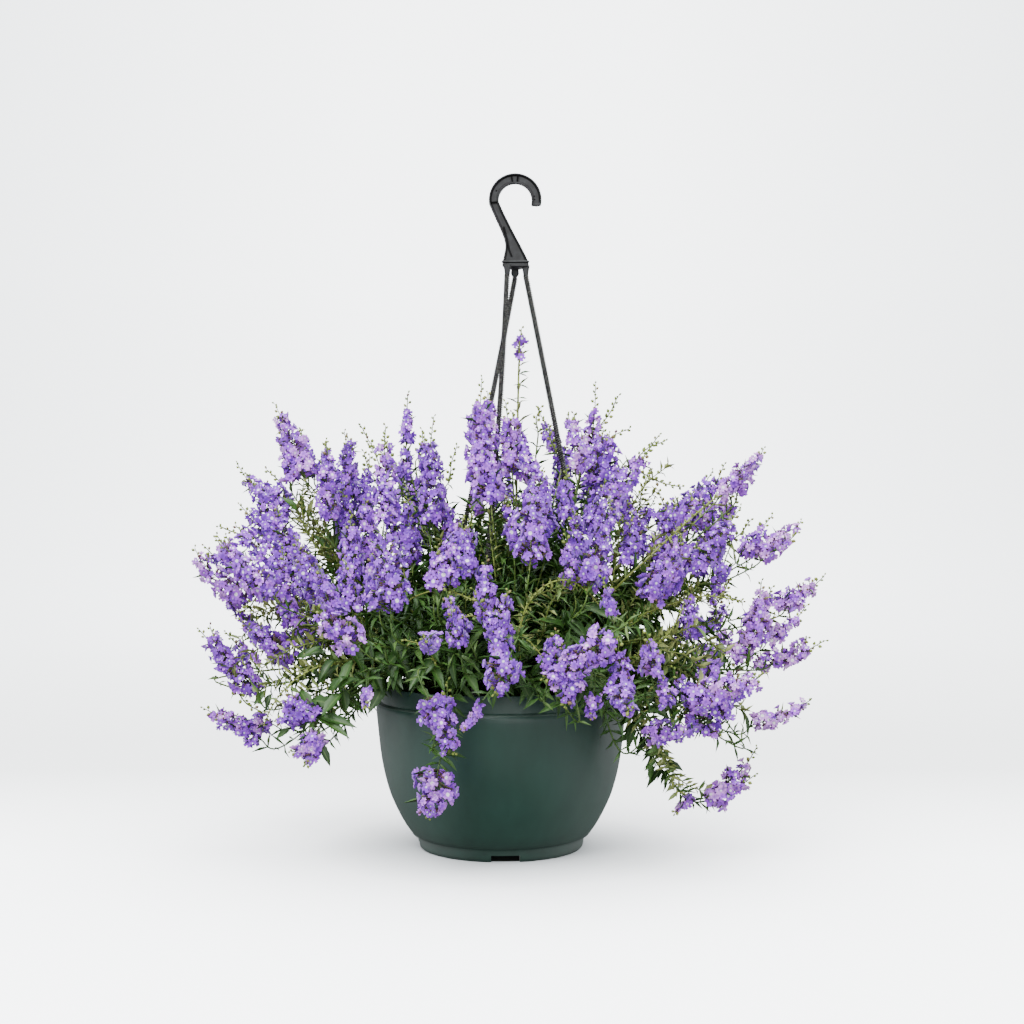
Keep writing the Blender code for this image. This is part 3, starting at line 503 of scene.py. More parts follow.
run_tree(chips, strewing, {"Shapes": chip_group, "Last Shape": CHIP_SHAPES - 1, "Finish": bark, **sizes})
drop_group(chip_group)
finish_piece(chips, bark, "potting_soil")

# Hanger hook
# The top of the hanger, moulded in charcoal polypropylene: an open hook of I-shaped section with a recessed
# web and cross ribs, widening into a plate, and below it a round crown with three tapered ears.
HOOK_CENTRE = (14.5, 659.4)
HOOK_OUTER = 27.0
HOOK_INNER = 16.8
HALF_THICK = 3.2
WEB_HALF = 1.1
HOOK_FLANGE = 1.5
HOOK_FLANGE_FOOT = 1.9
HOOK_TIP_ANGLE = -8
HOOK_BACK_ANGLE = 188
HOOK_STEPS = 40
# The rounded end of the bar, as (angle outside, angle inside, how far its two edges are drawn in)
HOOK_TIP = [(-12.4, -18.0, 1.9), (-12.0, -17.4, 0.9), (-10.8, -15.4, 0.3), (-9.4, -11.6, 0.0)]
# The block that closes the end between the flanges, as (x, z) from the arc's centre
END_BLOCK = [(18.5, -3.0), (18.6, -4.8), (19.7, -5.9), (22.0, -6.1), (24.2, -5.8), (25.4, -4.7), (25.6, -3.0)]
# The shank below the arc, as (left edge, right edge, height)
SHANK = [
    (-12.2, -2.2, 655.7), (-5.0, 6.0, 639.5), (2.2, 14.3, 623.0), (4.4, 20.3, 612.0), (2.3, 26.6, 599.4),
    (1.6, 28.0, 595.6),
]
RIB_ANGLES = [83.5, 99, 187]
RIB_HALF_ANGLE = 2
# Round marks of the mould's ejector pins on the web, as (angle, distance from the arc's centre)
EJECTOR_MARKS = [(11, 19.8), (1, 19.9), (154, 21.4)]
MARK_RADIUS = 0.85
# A low rib down the shank, as (x, height), and its section, as (across, in depth) with its painted shade
SHANK_RIB = [(2.9, 632.0), (6.1, 618.7), (8.4, 608.5), (11.2, 601.5)]
RIB_SECTION = [(-2, -1), (-1, -2.4), (1, -2.4), (2, -1), (2, 1), (1, 2.4), (-1, 2.4), (-2, 1)]
RIB_PAINTED_SHADE = [1, 0.8, 0.8, 1, 1, 0.8, 0.8, 1]
CROWN_CENTRE = 14.8
# The crown's three-cornered outline from above, and its layers as (share of the outline, height)
CROWN_CORNERS = [(-14.0, -8.4), (14.0, -8.4), (14.2, -4.0), (5.2, 13.0), (-5.2, 13.0), (-14.2, -4.0)]
CROWN_GROOVE = 0.88
CROWN_LAYERS = [
    (0.86, 590.2), (0.95, 590.8), (0.96, 593.6), (CROWN_GROOVE, 593.8), (CROWN_GROOVE, 594.5), (1.0, 594.7),
    (1.0, 596.1), (0.97, 596.5),
]
EAR_BEARINGS = {"strand_front": -141, "strand_back_left": 92, "strand_back_right": -15}
EAR_CIRCLE = 10.8
# An ear from its foot at the strand up to the crown, as (half width, half depth, height). The one at the back
# is rounder.
EAR_OUTLINE = [
    (1.9, 1.7, 580.8), (2.5, 2.2, 581.4), (2.8, 2.4, 584.0), (3.3, 2.6, 587.0), (3.8, 2.8, 589.5),
    (4.0, 2.8, 592.0),
]
BACK_EAR_OUTLINE = [
    (1.9, 1.7, 580.8), (2.2, 1.9, 582.8), (3.5, 2.3, 584.2), (4.3, 2.6, 586.4), (4.1, 2.6, 589.0),
    (3.2, 2.6, 592.0),
]

# Charcoal polypropylene: dark neutral grey, satin, with a fine grain of about 0.6 mm, faint cloudy patches of
# about 6 mm, and painted shade in the creases along each flange, on the ribs, the crown's groove and the pin
# marks: darker and less shiny there.
charcoal_plastic, tree, surface, place = new_material("moulded_charcoal_polypropylene", 0.45, 1.42)
cloud = add_node(tree, "ShaderNodeTexNoise", {"Vector": place, "Scale": 160.0, "Detail": 5})["Fac"]
greys = [(0.30, "#151617"), (0.50, "#1e1f21"), (0.72, "#313335")]
patchy = add_node(tree, "ShaderNodeValToRGB", {"Fac": cloud}, greys)["Color"]
crease = add_node(tree, "ShaderNodeAttribute", attribute_name="crease")["Fac"]
shine = add_node(tree, "ShaderNodeMath", {0: crease, 1: -0.46, 2: 0.5}, operation="MULTIPLY_ADD")["Value"]
feed(surface, {"Base Color": laid_over(tree, patchy, "#060607", crease), "Specular IOR Level": shine})
uneven_sheen(tree, surface, cloud, 0.36, 0.52)
grained(tree, surface, place, 1600.0, 2, 0.15, 0.0003)

# One quarter of the bar's I-shaped section, as (from the edge, from the middle plane), with its painted shade
SECTION = [
    (0.0, HALF_THICK - 0.4, 0.0),
    (0.4, HALF_THICK, 0.0),
    (HOOK_FLANGE - 0.3, HALF_THICK, 0.0),
    (HOOK_FLANGE, HALF_THICK - 0.3, 0.6),
    (HOOK_FLANGE_FOOT, WEB_HALF, 1.0),
    (HOOK_FLANGE_FOOT + 0.6, WEB_HALF, 0.9),
    (HOOK_FLANGE_FOOT + 1.2, WEB_HALF, 0.1),
]


def hook_section(outer, inner):
    """The bar's I-shaped section between an outer and an inner edge point, in mm."""
    across = (inner - outer).normalized()
    width = (inner - outer).length
    front = [(a, -b) for a, b, _ in SECTION]
    front += [(width - a, b) for a, b in reversed(front)]
    corners = front + [(a, -b) for a, b in reversed(front)]
    return [(outer + across * a + Vector((0, b, 0))) * MM for a, b in corners]


def painted_shade_loft(name, rings, painted_darkness=0.0):
    """A lofted part of the hook with its painted shade: one value, or one for each point."""
    part = loft(name, rings)
    count = len(part.data.vertices)
    mark(part, "crease", painted_darkness if isinstance(painted_darkness, list) else [painted_darkness] * count)
    return part


def joined(name, parts):
    """One object from several, which are removed. It keeps their painted shade."""
    points = []
    faces = []
    painted_shades = []
    for part in parts:
        faces += [[len(points) + index for index in face.vertices] for face in part.data.polygons]
        points += [corner.co.copy() for corner in part.data.vertices]
        kept = part.data.attributes.get("crease")
        painted_shades += [item.value for item in kept.data] if kept else [0.0] * len(part.data.vertices)
        bpy.data.objects.remove(part, do_unlink=True)
    made = new_object(name, points, faces)
    mark(made, "crease", painted_shades)
    return made


def oblong(middle, half_width, half_depth):
    """A level ring with rounded corners, in mm."""
    ring = []
    for angle in [math.radians(15 * k) for k in range(24)]:
        x = math.copysign(abs(math.cos(angle)) ** 0.6, math.cos(angle)) * half_width
        y = math.copysign(abs(math.sin(angle)) ** 0.6, math.sin(angle)) * half_depth
        ring.append((middle + Vector((x, y, 0))) * MM)
    return ring


def round_hook(degrees):
    """The direction from the arc's centre at an angle above +X."""
    return Vector((math.cos(math.radians(degrees)), 0, math.sin(math.radians(degrees))))


hook_middle = Vector((HOOK_CENTRE[0], 0, HOOK_CENTRE[1]))
swing = HOOK_BACK_ANGLE - HOOK_TIP_ANGLE
steps = HOOK_TIP + [(HOOK_TIP_ANGLE + swing * k / HOOK_STEPS,) * 2 + (0,) for k in range(HOOK_STEPS + 1)]
rails = []
for outside, inside, drawn_in in steps:
    outer = hook_middle + round_hook(outside) * (HOOK_OUTER - drawn_in)
    rails.append((outer, hook_middle + round_hook(inside) * (HOOK_INNER + drawn_in)))
left_line = through([Vector((left, 0, height)) for left, _, height in SHANK], 5)
right_line = through([Vector((right, 0, height)) for _, right, height in SHANK], 5)
rails += list(zip(left_line, right_line))[3:]
# Painted shade on the bar: the creases at the flanges' feet are darker, more on some edges than others.
quarter = [dark for _, _, dark in SECTION]
painted_darkness = []
for k in range(len(rails)):
    outside, inside = (1.0, 0.35) if k < len(steps) else (0.7, 1.0)
    front_half = [dark * outside for dark in quarter] + [dark * inside for dark in reversed(quarter)]
    painted_darkness += front_half + front_half[::-1]
parts = [painted_shade_loft("bar", [hook_section(outer, inner) for outer, inner in rails], painted_darkness)]
half = Vector((0, HALF_THICK - 0.5, 0))
root = Vector((0, WEB_HALF, 0))
for angle in RIB_ANGLES:
    rings = []
    for side in (RIB_HALF_ANGLE, -RIB_HALF_ANGLE):
        low = hook_middle + round_hook(angle + side) * (HOOK_INNER + 1)
        high = hook_middle + round_hook(angle + side) * (HOOK_OUTER - 1)
        front = [low - half, high - half, high - root]
        rings.append([p * MM for p in front + [high + root, high + half, low + half, low + root, low - root]])
    # The cross ribs are painted fully dark, as painted shade lines.
    parts.append(painted_shade_loft("rib", rings, 1.0))
rib_line = through([Vector((x, 0, z)) for x, z in SHANK_RIB], 4)
rings = []
for k, spot in enumerate(rib_line):
    along = (rib_line[min(k + 1, len(rib_line) - 1)] - rib_line[max(k - 1, 0)]).normalized()
    side = along.cross(Vector((0, 1, 0))) * 0.55
    rings.append([(spot + side * a + Vector((0, b, 0))) * MM for a, b in RIB_SECTION])
# The shank's rib is painted dark along its sides, as painted shade.
parts.append(painted_shade_loft("rib", rings, RIB_PAINTED_SHADE * len(rings)))
rings = [[(hook_middle + Vector((x, y, z))) * MM for x, z in END_BLOCK] for y in (2.7, -2.7)]
parts.append(painted_shade_loft("block", rings))
for angle, distance in EJECTOR_MARKS:
    spot = hook_middle + round_hook(angle) * distance
    rim = [round_hook(36 * k) * MARK_RADIUS for k in range(10)]
    faces_of_web = (WEB_HALF + 0.15, -WEB_HALF - 0.15)
    rings = [[(spot + point + Vector((0, y, 0))) * MM for point in rim] for y in faces_of_web]
    # The pin marks are painted fully dark, as painted shade.
    parts.append(painted_shade_loft("mark", rings, 1.0))
corners = [Vector((CROWN_CENTRE + x, y, 0)) for x, y in CROWN_CORNERS]
middle = Vector((CROWN_CENTRE, 0, 0))
plate = []
for k, corner in enumerate(corners):
    before = (corners[k - 1] - corner).normalized()
    after = (corners[(k + 1) % len(corners)] - corner).normalized()
    plate += [corner + before * 1.6, corner + (before + after) * 0.55, corner + after * 1.6]
rings = []
painted_darkness = []
for share, height in CROWN_LAYERS:
    rings.append([(middle + (corner - middle) * share + Vector((0, 0, height))) * MM for corner in plate])
    # The crown's groove is painted dark, as painted shade.
    painted_darkness += [float(share == CROWN_GROOVE)] * len(plate)
parts.append(painted_shade_loft("crown", rings, painted_darkness))
for name, turn in EAR_BEARINGS.items():
    foot = middle + bearing(turn) * EAR_CIRCLE
    shape = BACK_EAR_OUTLINE if name == "strand_back_left" else EAR_OUTLINE
    rings = [oblong(foot + Vector((0, 0, z)), width, depth) for width, depth, z in shape]
    parts.append(painted_shade_loft("ear", rings))
hook = joined("hanger_hook_moulding", parts)
shade_round(hook, 30)
finish_piece(hook, charcoal_plastic, "charcoal_plastic", "hanger_hook")

# Strands
# Three slim hanger strands of the same charcoal plastic, moulded like a three-ply cord. Each hangs from an
# ear of the crown and clips under a lug of the basket with a button on its end.
STRANDS = [("strand_front", -104, 4), ("strand_back_left", 136, 4), ("strand_back_right", 16, 1)]
STRAND_RADIUS = 0.0026
STRAND_SIZES = {
    "Radius": STRAND_RADIUS, "Plies": 3, "Ply Depth": 0.30, "Twist Length": 0.0068, "Ring Spacing": 0.0009,
}
STRAND_SETS_OFF = 0.160
STRAND_TOP = 582.0
STRAND_STEPS = 60
BUTTON_OUTLINE = [
    (0, 148.5), (2.4, 148.5), (3.8, 149.6), (4.2, 151.0), (4.2, 152.0), (3.9, 152.2), (1.8, 152.2),
    (1.8, 157.0), (0, 157.0),
]

# The strands' plastic is a little paler than the hook's, with pale specks of about 1 mm painted as highlights
# like those on the ridges of the plies, so it looks like a fine cord from a step away.
strand_plastic, tree, surface, place = new_material("twisted_charcoal_strand", 0.5, 1.42)
# Painted highlight: pale specks stand for glints on the plies.
painted_glints = add_node(tree, "ShaderNodeTexNoise", {"Vector": place, "Scale": 900.0, "Detail": 1})["Fac"]
greys = [(0.40, "#1b1c1d"), (0.50, "#3d3e3d"), (0.62, "#7a7a75")]
feed(surface, {"Base Color": add_node(tree, "ShaderNodeValToRGB", {"Fac": painted_glints}, greys)["Color"]})

twisting, given, result = new_tree("twist_along_line", [(title, "Float") for title in STRAND_SIZES])
line = add_node(twisting, "GeometryNodeMeshToCurve", {"Mesh": given["Geometry"]})["Curve"]
spacing = {"Curve": line, "Length": given["Ring Spacing"]}
even = add_node(twisting, "GeometryNodeResampleCurve", spacing, mode="LENGTH")["Curve"]
along = add_node(twisting, "GeometryNodeSplineParameter")["Length"]
in_turns = {0: along, 1: given["Twist Length"]}
turns = add_node(twisting, "ShaderNodeMath", in_turns, operation="DIVIDE")["Value"]
tilt = add_node(twisting, "ShaderNodeMath", {0: turns, 1: math.tau}, operation="MULTIPLY")["Value"]
tilted = add_node(twisting, "GeometryNodeSetCurveTilt", {"Curve": even, "Tilt": tilt})["Curve"]
circle = add_node(twisting, "GeometryNodeCurvePrimitiveCircle", {"Resolution": 12, "Radius": 1.0})["Curve"]
spot = add_node(twisting, "GeometryNodeInputPosition")["Position"]
split = add_node(twisting, "ShaderNodeSeparateXYZ", {"Vector": spot})
turn = add_node(twisting, "ShaderNodeMath", {0: split["Y"], 1: split["X"]}, operation="ARCTAN2")["Value"]
plies = add_node(twisting, "ShaderNodeMath", {0: turn, 1: given["Plies"]}, operation="MULTIPLY")["Value"]
wave = add_node(twisting, "ShaderNodeMath", {0: plies}, operation="COSINE")["Value"]
swelling = {0: wave, 1: given["Ply Depth"], 2: 1.0}
swell = add_node(twisting, "ShaderNodeMath", swelling, operation="MULTIPLY_ADD")["Value"]
lobed = add_node(twisting, "ShaderNodeVectorMath", {0: spot, "Scale": swell}, operation="SCALE")["Vector"]
rope = add_node(twisting, "GeometryNodeSetPosition", {"Geometry": circle, "Position": lobed})["Geometry"]
sweep = {"Curve": tilted, "Profile Curve": rope, "Scale": given["Radius"], "Fill Caps": True}
end_tree(twisting, given, result, add_node(twisting, "GeometryNodeCurveToMesh", sweep)["Mesh"])

strand_lines = []
for name, rim_bearing, bow in STRANDS:
    lug = bearing(rim_bearing) * LUG_CIRCLE
    start = lug + Vector((0, 0, STRAND_SETS_OFF))
    end = (Vector((CROWN_CENTRE, 0, STRAND_TOP)) + bearing(EAR_BEARINGS[name]) * EAR_CIRCLE) * MM
    route = [lug + Vector((0, 0, LUG_TOP + 0.0008)), start]
    for t in [k / STRAND_STEPS for k in range(1, STRAND_STEPS + 1)]:
        route.append(start.lerp(end, t) + Vector((bow * MM * 4 * t * (1 - t), 0, 0)))
    strand_lines.append(route)
    strand = new_object(name + "_twisted", route, [], [(k, k + 1) for k in range(len(route) - 1)])
    run_tree(strand, twisting, {**STRAND_SIZES, "Finish": strand_plastic})
    button = turned("button", [(r * MM, z * MM) for r, z in BUTTON_OUTLINE], 24)
    for corner in button.data.vertices:
        corner.co += lug
    strand = joined(name + "_moulding", [strand, button])
    shade_round(strand, 50)
    finish_piece(strand, strand_plastic, "charcoal_plastic", name)

# Stems
# Slender square-shouldered stems, soft and green, that branch from six rooted crowns, arch outwards and end
# in flower spikes; a few hang over the rim. Their lines are the ones that the solids follow.
# The six rooted crowns, by their bearings
CLUMPS = {
    "left": 166, "front_left": -134, "front_right": -74, "right": -14, "back_right": 46, "back_left": 106,
}
STOCK_CIRCLE = 0.045
STEM_ROOTS = (0.153, 0.164)
STEM_FOOT = 0.146
STEM_ARCH = 0.018
STEM_ARCH_AT = 0.30
LEAD_LENGTH = 0.030
LEAD_SHARE = 0.25
LEAD_FOLLOWS = 0.7
SHOULDER_RADIUS = 0.116
SHOULDER_HEIGHT = 0.186
SHOULDER_OUT = 0.020
SHOULDER_UP = 0.015
STEM_SIDES = 4
STEM_THICK = (0.0012, 0.00078, 0.00048)
TRAILING_STEM = [(102, -66, 184), (135, -84, 122), (160, -82, 84), (184, -80, 60)]
LOWEST_SHOULDER_PIXEL = 780
FULL = 1.0
# How far a spike's axis and a spray bow sideways, as a share of their length
SPIKE_BOW = 0.05
SPRAY_BOW = 0.12

# The spikes that the solids hold, in the order of their letters: where the florets begin and end in mm,
# width and length of the bare bud tip in mm, and how full the spike is where that is less than full
SPIKES = {
    "left": [
        ((-205, 30, 380), (-230, 35, 440), 36, 16), ((-225, 60, 345), (-270, 65, 375), 36, 22),
        ((-175, -10, 335), (-175, -12, 395), 30, 18), ((-160, 45, 320), (-160, 45, 412), 32, 10),
        ((-264, 10, 250), (-311, 12, 293), 38, 12), ((-215, 0, 305), (-258, 0, 338), 36, 14),
        ((-247, -25, 160), (-288, -30, 215), 34, 12), ((-240, 20, 122), (-300, 22, 133), 28, 10),
        ((-210, 110, 215), (-250, 135, 250), 34, 12),
    ],
    "front_left": [
        ((-115, -60, 330), (-115, -55, 402), 34, 22), ((-70, -55, 330), (-70, -50, 405), 34, 30),
        ((-220, -100, 262), (-262, -105, 305), 38, 14), ((-172, -110, 255), (-190, -118, 302), 36, 12),
        ((-101, -160, 248), (-107, -150, 312), 46, 10), ((-132, -172, 218), (-160, -184, 244), 38, 10),
        ((-52, -150, 271), (-37, -132, 321), 38, 12), ((-62, -195, 222), (-66, -235, 226), 28, 4),
        ((-66, -178, 170), (-46, -186, 126), 38, 6), ((-58, -153, 102), (-66, -156, 64), 50, 6),
    ],
    "front_right": [
        ((-10, -90, 350), (-20, -92, 440), 40, 28), ((29, -45, 372), (12, -48, 430), 34, 8),
        ((18.6, -30, 494), (19.6, -32, 513), 24, 10, 0.5), ((27, -145, 292), (37, -125, 368), 42, 10),
        ((82, -150, 273), (101, -140, 340), 38, 10), ((0, -200, 206), (4, -205, 259), 30, 8),
        ((95, -188, 226), (43, -215, 192), 42, 6), ((104, -198, 180), (110, -236, 166), 32, 4),
    ],
    "right": [
        ((74, -30, 382), (69, -30, 430), 34, 8), ((110, -35, 352), (140, -40, 392), 36, 30),
        ((225, -5, 358), (264, -5, 398), 26, 8), ((188, -40, 282), (226, -45, 327), 38, 22),
        ((140, -120, 256), (167, -130, 307), 38, 12), ((264, 15, 298), (306, 18, 325), 26, 8),
        ((276, -20, 248), (312, -22, 268), 28, 6), ((243, -70, 212), (252, -72, 260), 34, 12),
        ((264, 10, 184), (311, 12, 207), 26, 6), ((175, -140, 164), (234, -150, 183), 38, 10),
        ((251, -50, 130), (298, -55, 150), 26, 8), ((202, -80, 60), (236, -85, 94), 32, 22),
    ],
    "back_right": [
        ((94, 45, 385), (99, 45, 446), 32, 30), ((170, 85, 332), (222, 90, 375), 30, 14),
        ((60, 150, 320), (70, 170, 385), 36, 14), ((105, 185, 190), (135, 232, 215), 36, 8),
        ((215, 130, 175), (255, 150, 205), 36, 12),
    ],
    "back_left": [
        ((-25, 75, 375), (-30, 85, 445), 34, 14), ((-75, 150, 305), (-90, 170, 365), 36, 14),
        ((10, 185, 235), (10, 220, 280), 36, 8), ((-110, 200, 195), (-130, 236, 225), 36, 8),
    ],
}
# Smaller spikes between them, placed as the photo shows them: pixel of base and of tip, how far each is
# behind the axis in mm, and width in mm
SIDE_SPIKES = [
    ("left", [
        (314, 474, 303, 438, 60, 65, 26), (276, 594, 222, 547, -40, -45, 34),
        (302, 574, 242, 532, -20, -20, 36), (292, 624, 284, 564, -60, -62, 30),
        (294, 658, 252, 630, -60, -70, 34), (350, 545, 344, 500, 20, 22, 30),
        (366, 525, 368, 472, 30, 34, 28), (262, 640, 232, 606, 20, 20, 26),
    ]),
    ("front_left", [
        (318, 705, 282, 720, -110, -120, 30), (320, 732, 297, 751, -115, -125, 30),
        (316, 738, 309, 761, -118, -127, 22), (366, 690, 366, 704, -165, -175, 18),
        (407, 440, 407, 411, -20, -20, 20), (435, 588, 437, 556, -150, -148, 30),
        (458, 644, 452, 620, -180, -182, 26), (335, 614, 322, 578, -140, -145, 30),
        (352, 577, 350, 530, -70, -66, 34), (412, 562, 408, 508, -60, -56, 28),
        (455, 545, 440, 500, -40, -40, 26),
    ]),
    ("front_right", [
        (479, 514, 478, 474, 0, 0, 18), (485, 604, 485, 570, -150, -150, 26),
        (508, 660, 497, 688, -205, -214, 44), (512, 541, 508, 508, -110, -108, 24),
        (611, 612, 608, 592, -165, -170, 22), (594, 695, 592, 714, -190, -198, 24),
        (622, 692, 618, 655, -186, -190, 30), (572, 682, 566, 702, -208, -214, 26),
        (480, 704, 466, 726, -180, -184, 16), (567, 516, 565, 484, -60, -60, 26),
        (562, 474, 555, 440, 55, 55, 26), (582, 562, 575, 520, -92, -90, 28),
    ]),
    ("right", [
        (554, 446, 545, 425, 60, 60, 22), (592, 486, 602, 438, 10, 10, 34),
        (628, 564, 630, 526, -60, -60, 26), (732, 655, 768, 624, -60, -64, 32),
        (694, 636, 688, 600, -110, -112, 28), (652, 672, 650, 645, -165, -170, 28),
        (668, 704, 662, 680, -156, -160, 24), (694, 720, 654, 737, -130, -140, 28),
        (690, 712, 716, 733, -120, -126, 26), (690, 797, 678, 810, -82, -86, 16),
        (664, 592, 694, 552, -80, -82, 32), (652, 556, 672, 514, -20, -22, 34),
        (700, 547, 733, 507, 20, 22, 26),
    ]),
    ("back_right", [(616, 520, 628, 486, 110, 115, 30), (672, 640, 692, 612, 90, 100, 28)]),
    ("back_left", [(420, 500, 398, 470, 120, 130, 28), (350, 620, 300, 600, 130, 140, 30)]),
    ("front_right", [(488, 450, 489, 406, -70, -70, 34), (512, 472, 508, 422, -60, -60, 32)]),
    ("left", [
        (292, 480, 282, 438, 30, 34, 28), (333, 494, 326, 452, 50, 50, 30),
        (352, 494, 347, 448, 30, 30, 28),
    ]),
    ("front_left", [(427, 486, 424, 446, -30, -30, 28), (404, 478, 406, 452, -20, -20, 22)]),
    ("right", [(606, 484, 610, 442, 0, 0, 32)]),
    ("front_right", [(545, 530, 543, 490, -80, -80, 34)]),
    ("right", [
        (566, 500, 566, 462, 55, 55, 28), (596, 536, 604, 492, -60, -60, 36),
        (668, 544, 690, 502, 0, 0, 36), (738, 492, 753, 464, 10, 10, 28), (694, 520, 717, 482, 20, 20, 28),
    ]),
    ("left", [(278, 540, 256, 490, 0, 0, 34), (302, 566, 280, 520, -10, -10, 36)]),
    ("front_left", [
        (374, 556, 366, 510, -30, -30, 32), (352, 610, 346, 570, -110, -110, 30),
        (378, 602, 372, 566, -130, -130, 34), (466, 576, 467, 534, -140, -138, 34),
    ]),
    ("front_right", [(573, 584, 568, 548, -140, -140, 28)]),
    ("front_left", [(464, 630, 449, 600, -170, -168, 26)]),
    ("front_right", [(550, 670, 556, 640, -196, -192, 30), (574, 690, 566, 658, -205, -200, 30)]),
    ("right", [
        (668, 588, 678, 546, -60, -60, 36), (712, 562, 724, 528, 0, 0, 28), (764, 558, 790, 540, 0, 0, 24),
        (788, 606, 812, 588, -20, -20, 26), (750, 626, 768, 596, -60, -60, 28),
    ]),
    ("left", [
        (236, 670, 210, 642, -20, -25, 32), (256, 666, 238, 646, 0, 0, 28),
        (282, 658, 262, 630, -40, -45, 34),
    ]),
    ("right", [
        (776, 662, 808, 650, -20, -22, 26), (702, 678, 718, 662, -100, -100, 26),
        (696, 702, 680, 682, -130, -130, 30), (714, 704, 746, 688, -110, -110, 30),
    ]),
    ("front_left", [(302, 724, 290, 700, -110, -112, 32), (440, 722, 447, 700, -182, -182, 26)]),
    ("right", [(726, 720, 710, 702, -124, -124, 30)]),
    ("left", [(258, 738, 222, 722, 20, 18, 28)]),
    ("right", [(648, 738, 670, 722, -140, -140, 28)]),
    ("front_left", [(308, 738, 306, 756, -120, -122, 24)]),
    ("right", [(714, 800, 743, 784, -88, -88, 32)]),
    ("left", [(318, 600, 300, 570, -80, -80, 32), (252, 580, 214, 556, -10, -12, 30)]),
    ("front_left", [(398, 540, 390, 498, -50, -50, 28)]),
    ("right", [(636, 556, 628, 506, -30, -30, 30), (724, 566, 712, 600, -40, -40, 22)]),
    ("front_right", [
        (502, 642, 479, 604, -178, -172, 30), (532, 520, 531, 558, -100, -104, 24),
        (600, 560, 590, 584, -140, -144, 36),
    ]),
    ("right", [(742, 552, 762, 528, 10, 10, 26), (770, 640, 796, 620, -30, -32, 24)]),
]
# Spikes at the back, where the photo shows nothing: bearing, radius and height in mm of base and of tip
BACK_SPIKES = [
    (28, 150, 300, 30, 185, 345), (40, 190, 250, 42, 235, 280), (52, 150, 340, 52, 170, 400),
    (60, 190, 185, 62, 240, 190), (68, 130, 270, 66, 165, 315), (76, 180, 215, 76, 225, 240),
    (88, 120, 350, 88, 140, 405), (94, 190, 170, 95, 235, 165), (102, 150, 290, 104, 185, 330),
    (112, 190, 235, 114, 235, 265), (124, 160, 320, 126, 190, 370), (132, 195, 190, 133, 240, 205),
    (142, 190, 265, 144, 232, 300), (152, 220, 200, 154, 262, 215), (22, 230, 215, 24, 270, 235),
    (12, 210, 320, 13, 245, 350),
]
# Bud sprays: thin spent or budding stems that stand out between the spikes, as pixel of base and of tip,
# and depth
SPRAYS = [
    ("left", [(303, 462, 299, 430, 90), (330, 470, 325, 444, 90)]),
    ("front_left", [(388, 458, 361, 426, 60), (381, 470, 370, 446, 60)]),
    ("left", [
        (376, 482, 364, 452, 70), (286, 500, 267, 470, 80), (284, 506, 271, 487, 80),
        (262, 534, 219, 526, 50), (246, 560, 226, 536, 50),
    ]),
    ("front_left", [(419, 456, 422, 430, 50)]),
    ("front_right", [(538, 432, 540, 408, 60), (556, 452, 549, 426, 30)]),
    ("right", [
        (600, 450, 629, 429, 60), (596, 430, 618, 396, 60), (632, 466, 665, 441, 60),
        (640, 472, 681, 487, 60), (668, 510, 658, 490, 60), (715, 532, 727, 509, 20),
        (722, 545, 750, 521, 60), (690, 590, 742, 602, 0), (716, 606, 729, 581, -10),
        (722, 690, 753, 676, -120), (735, 668, 750, 655, -60),
    ]),
    ("left", [(256, 598, 240, 612, -20), (236, 690, 262, 712, -30), (292, 640, 272, 662, -60)]),
    ("back_left", [(395, 470, 384, 436, 60), (450, 480, 457, 446, 80)]),
    ("back_right", [(640, 500, 650, 470, 90), (580, 440, 574, 414, 60)]),
]
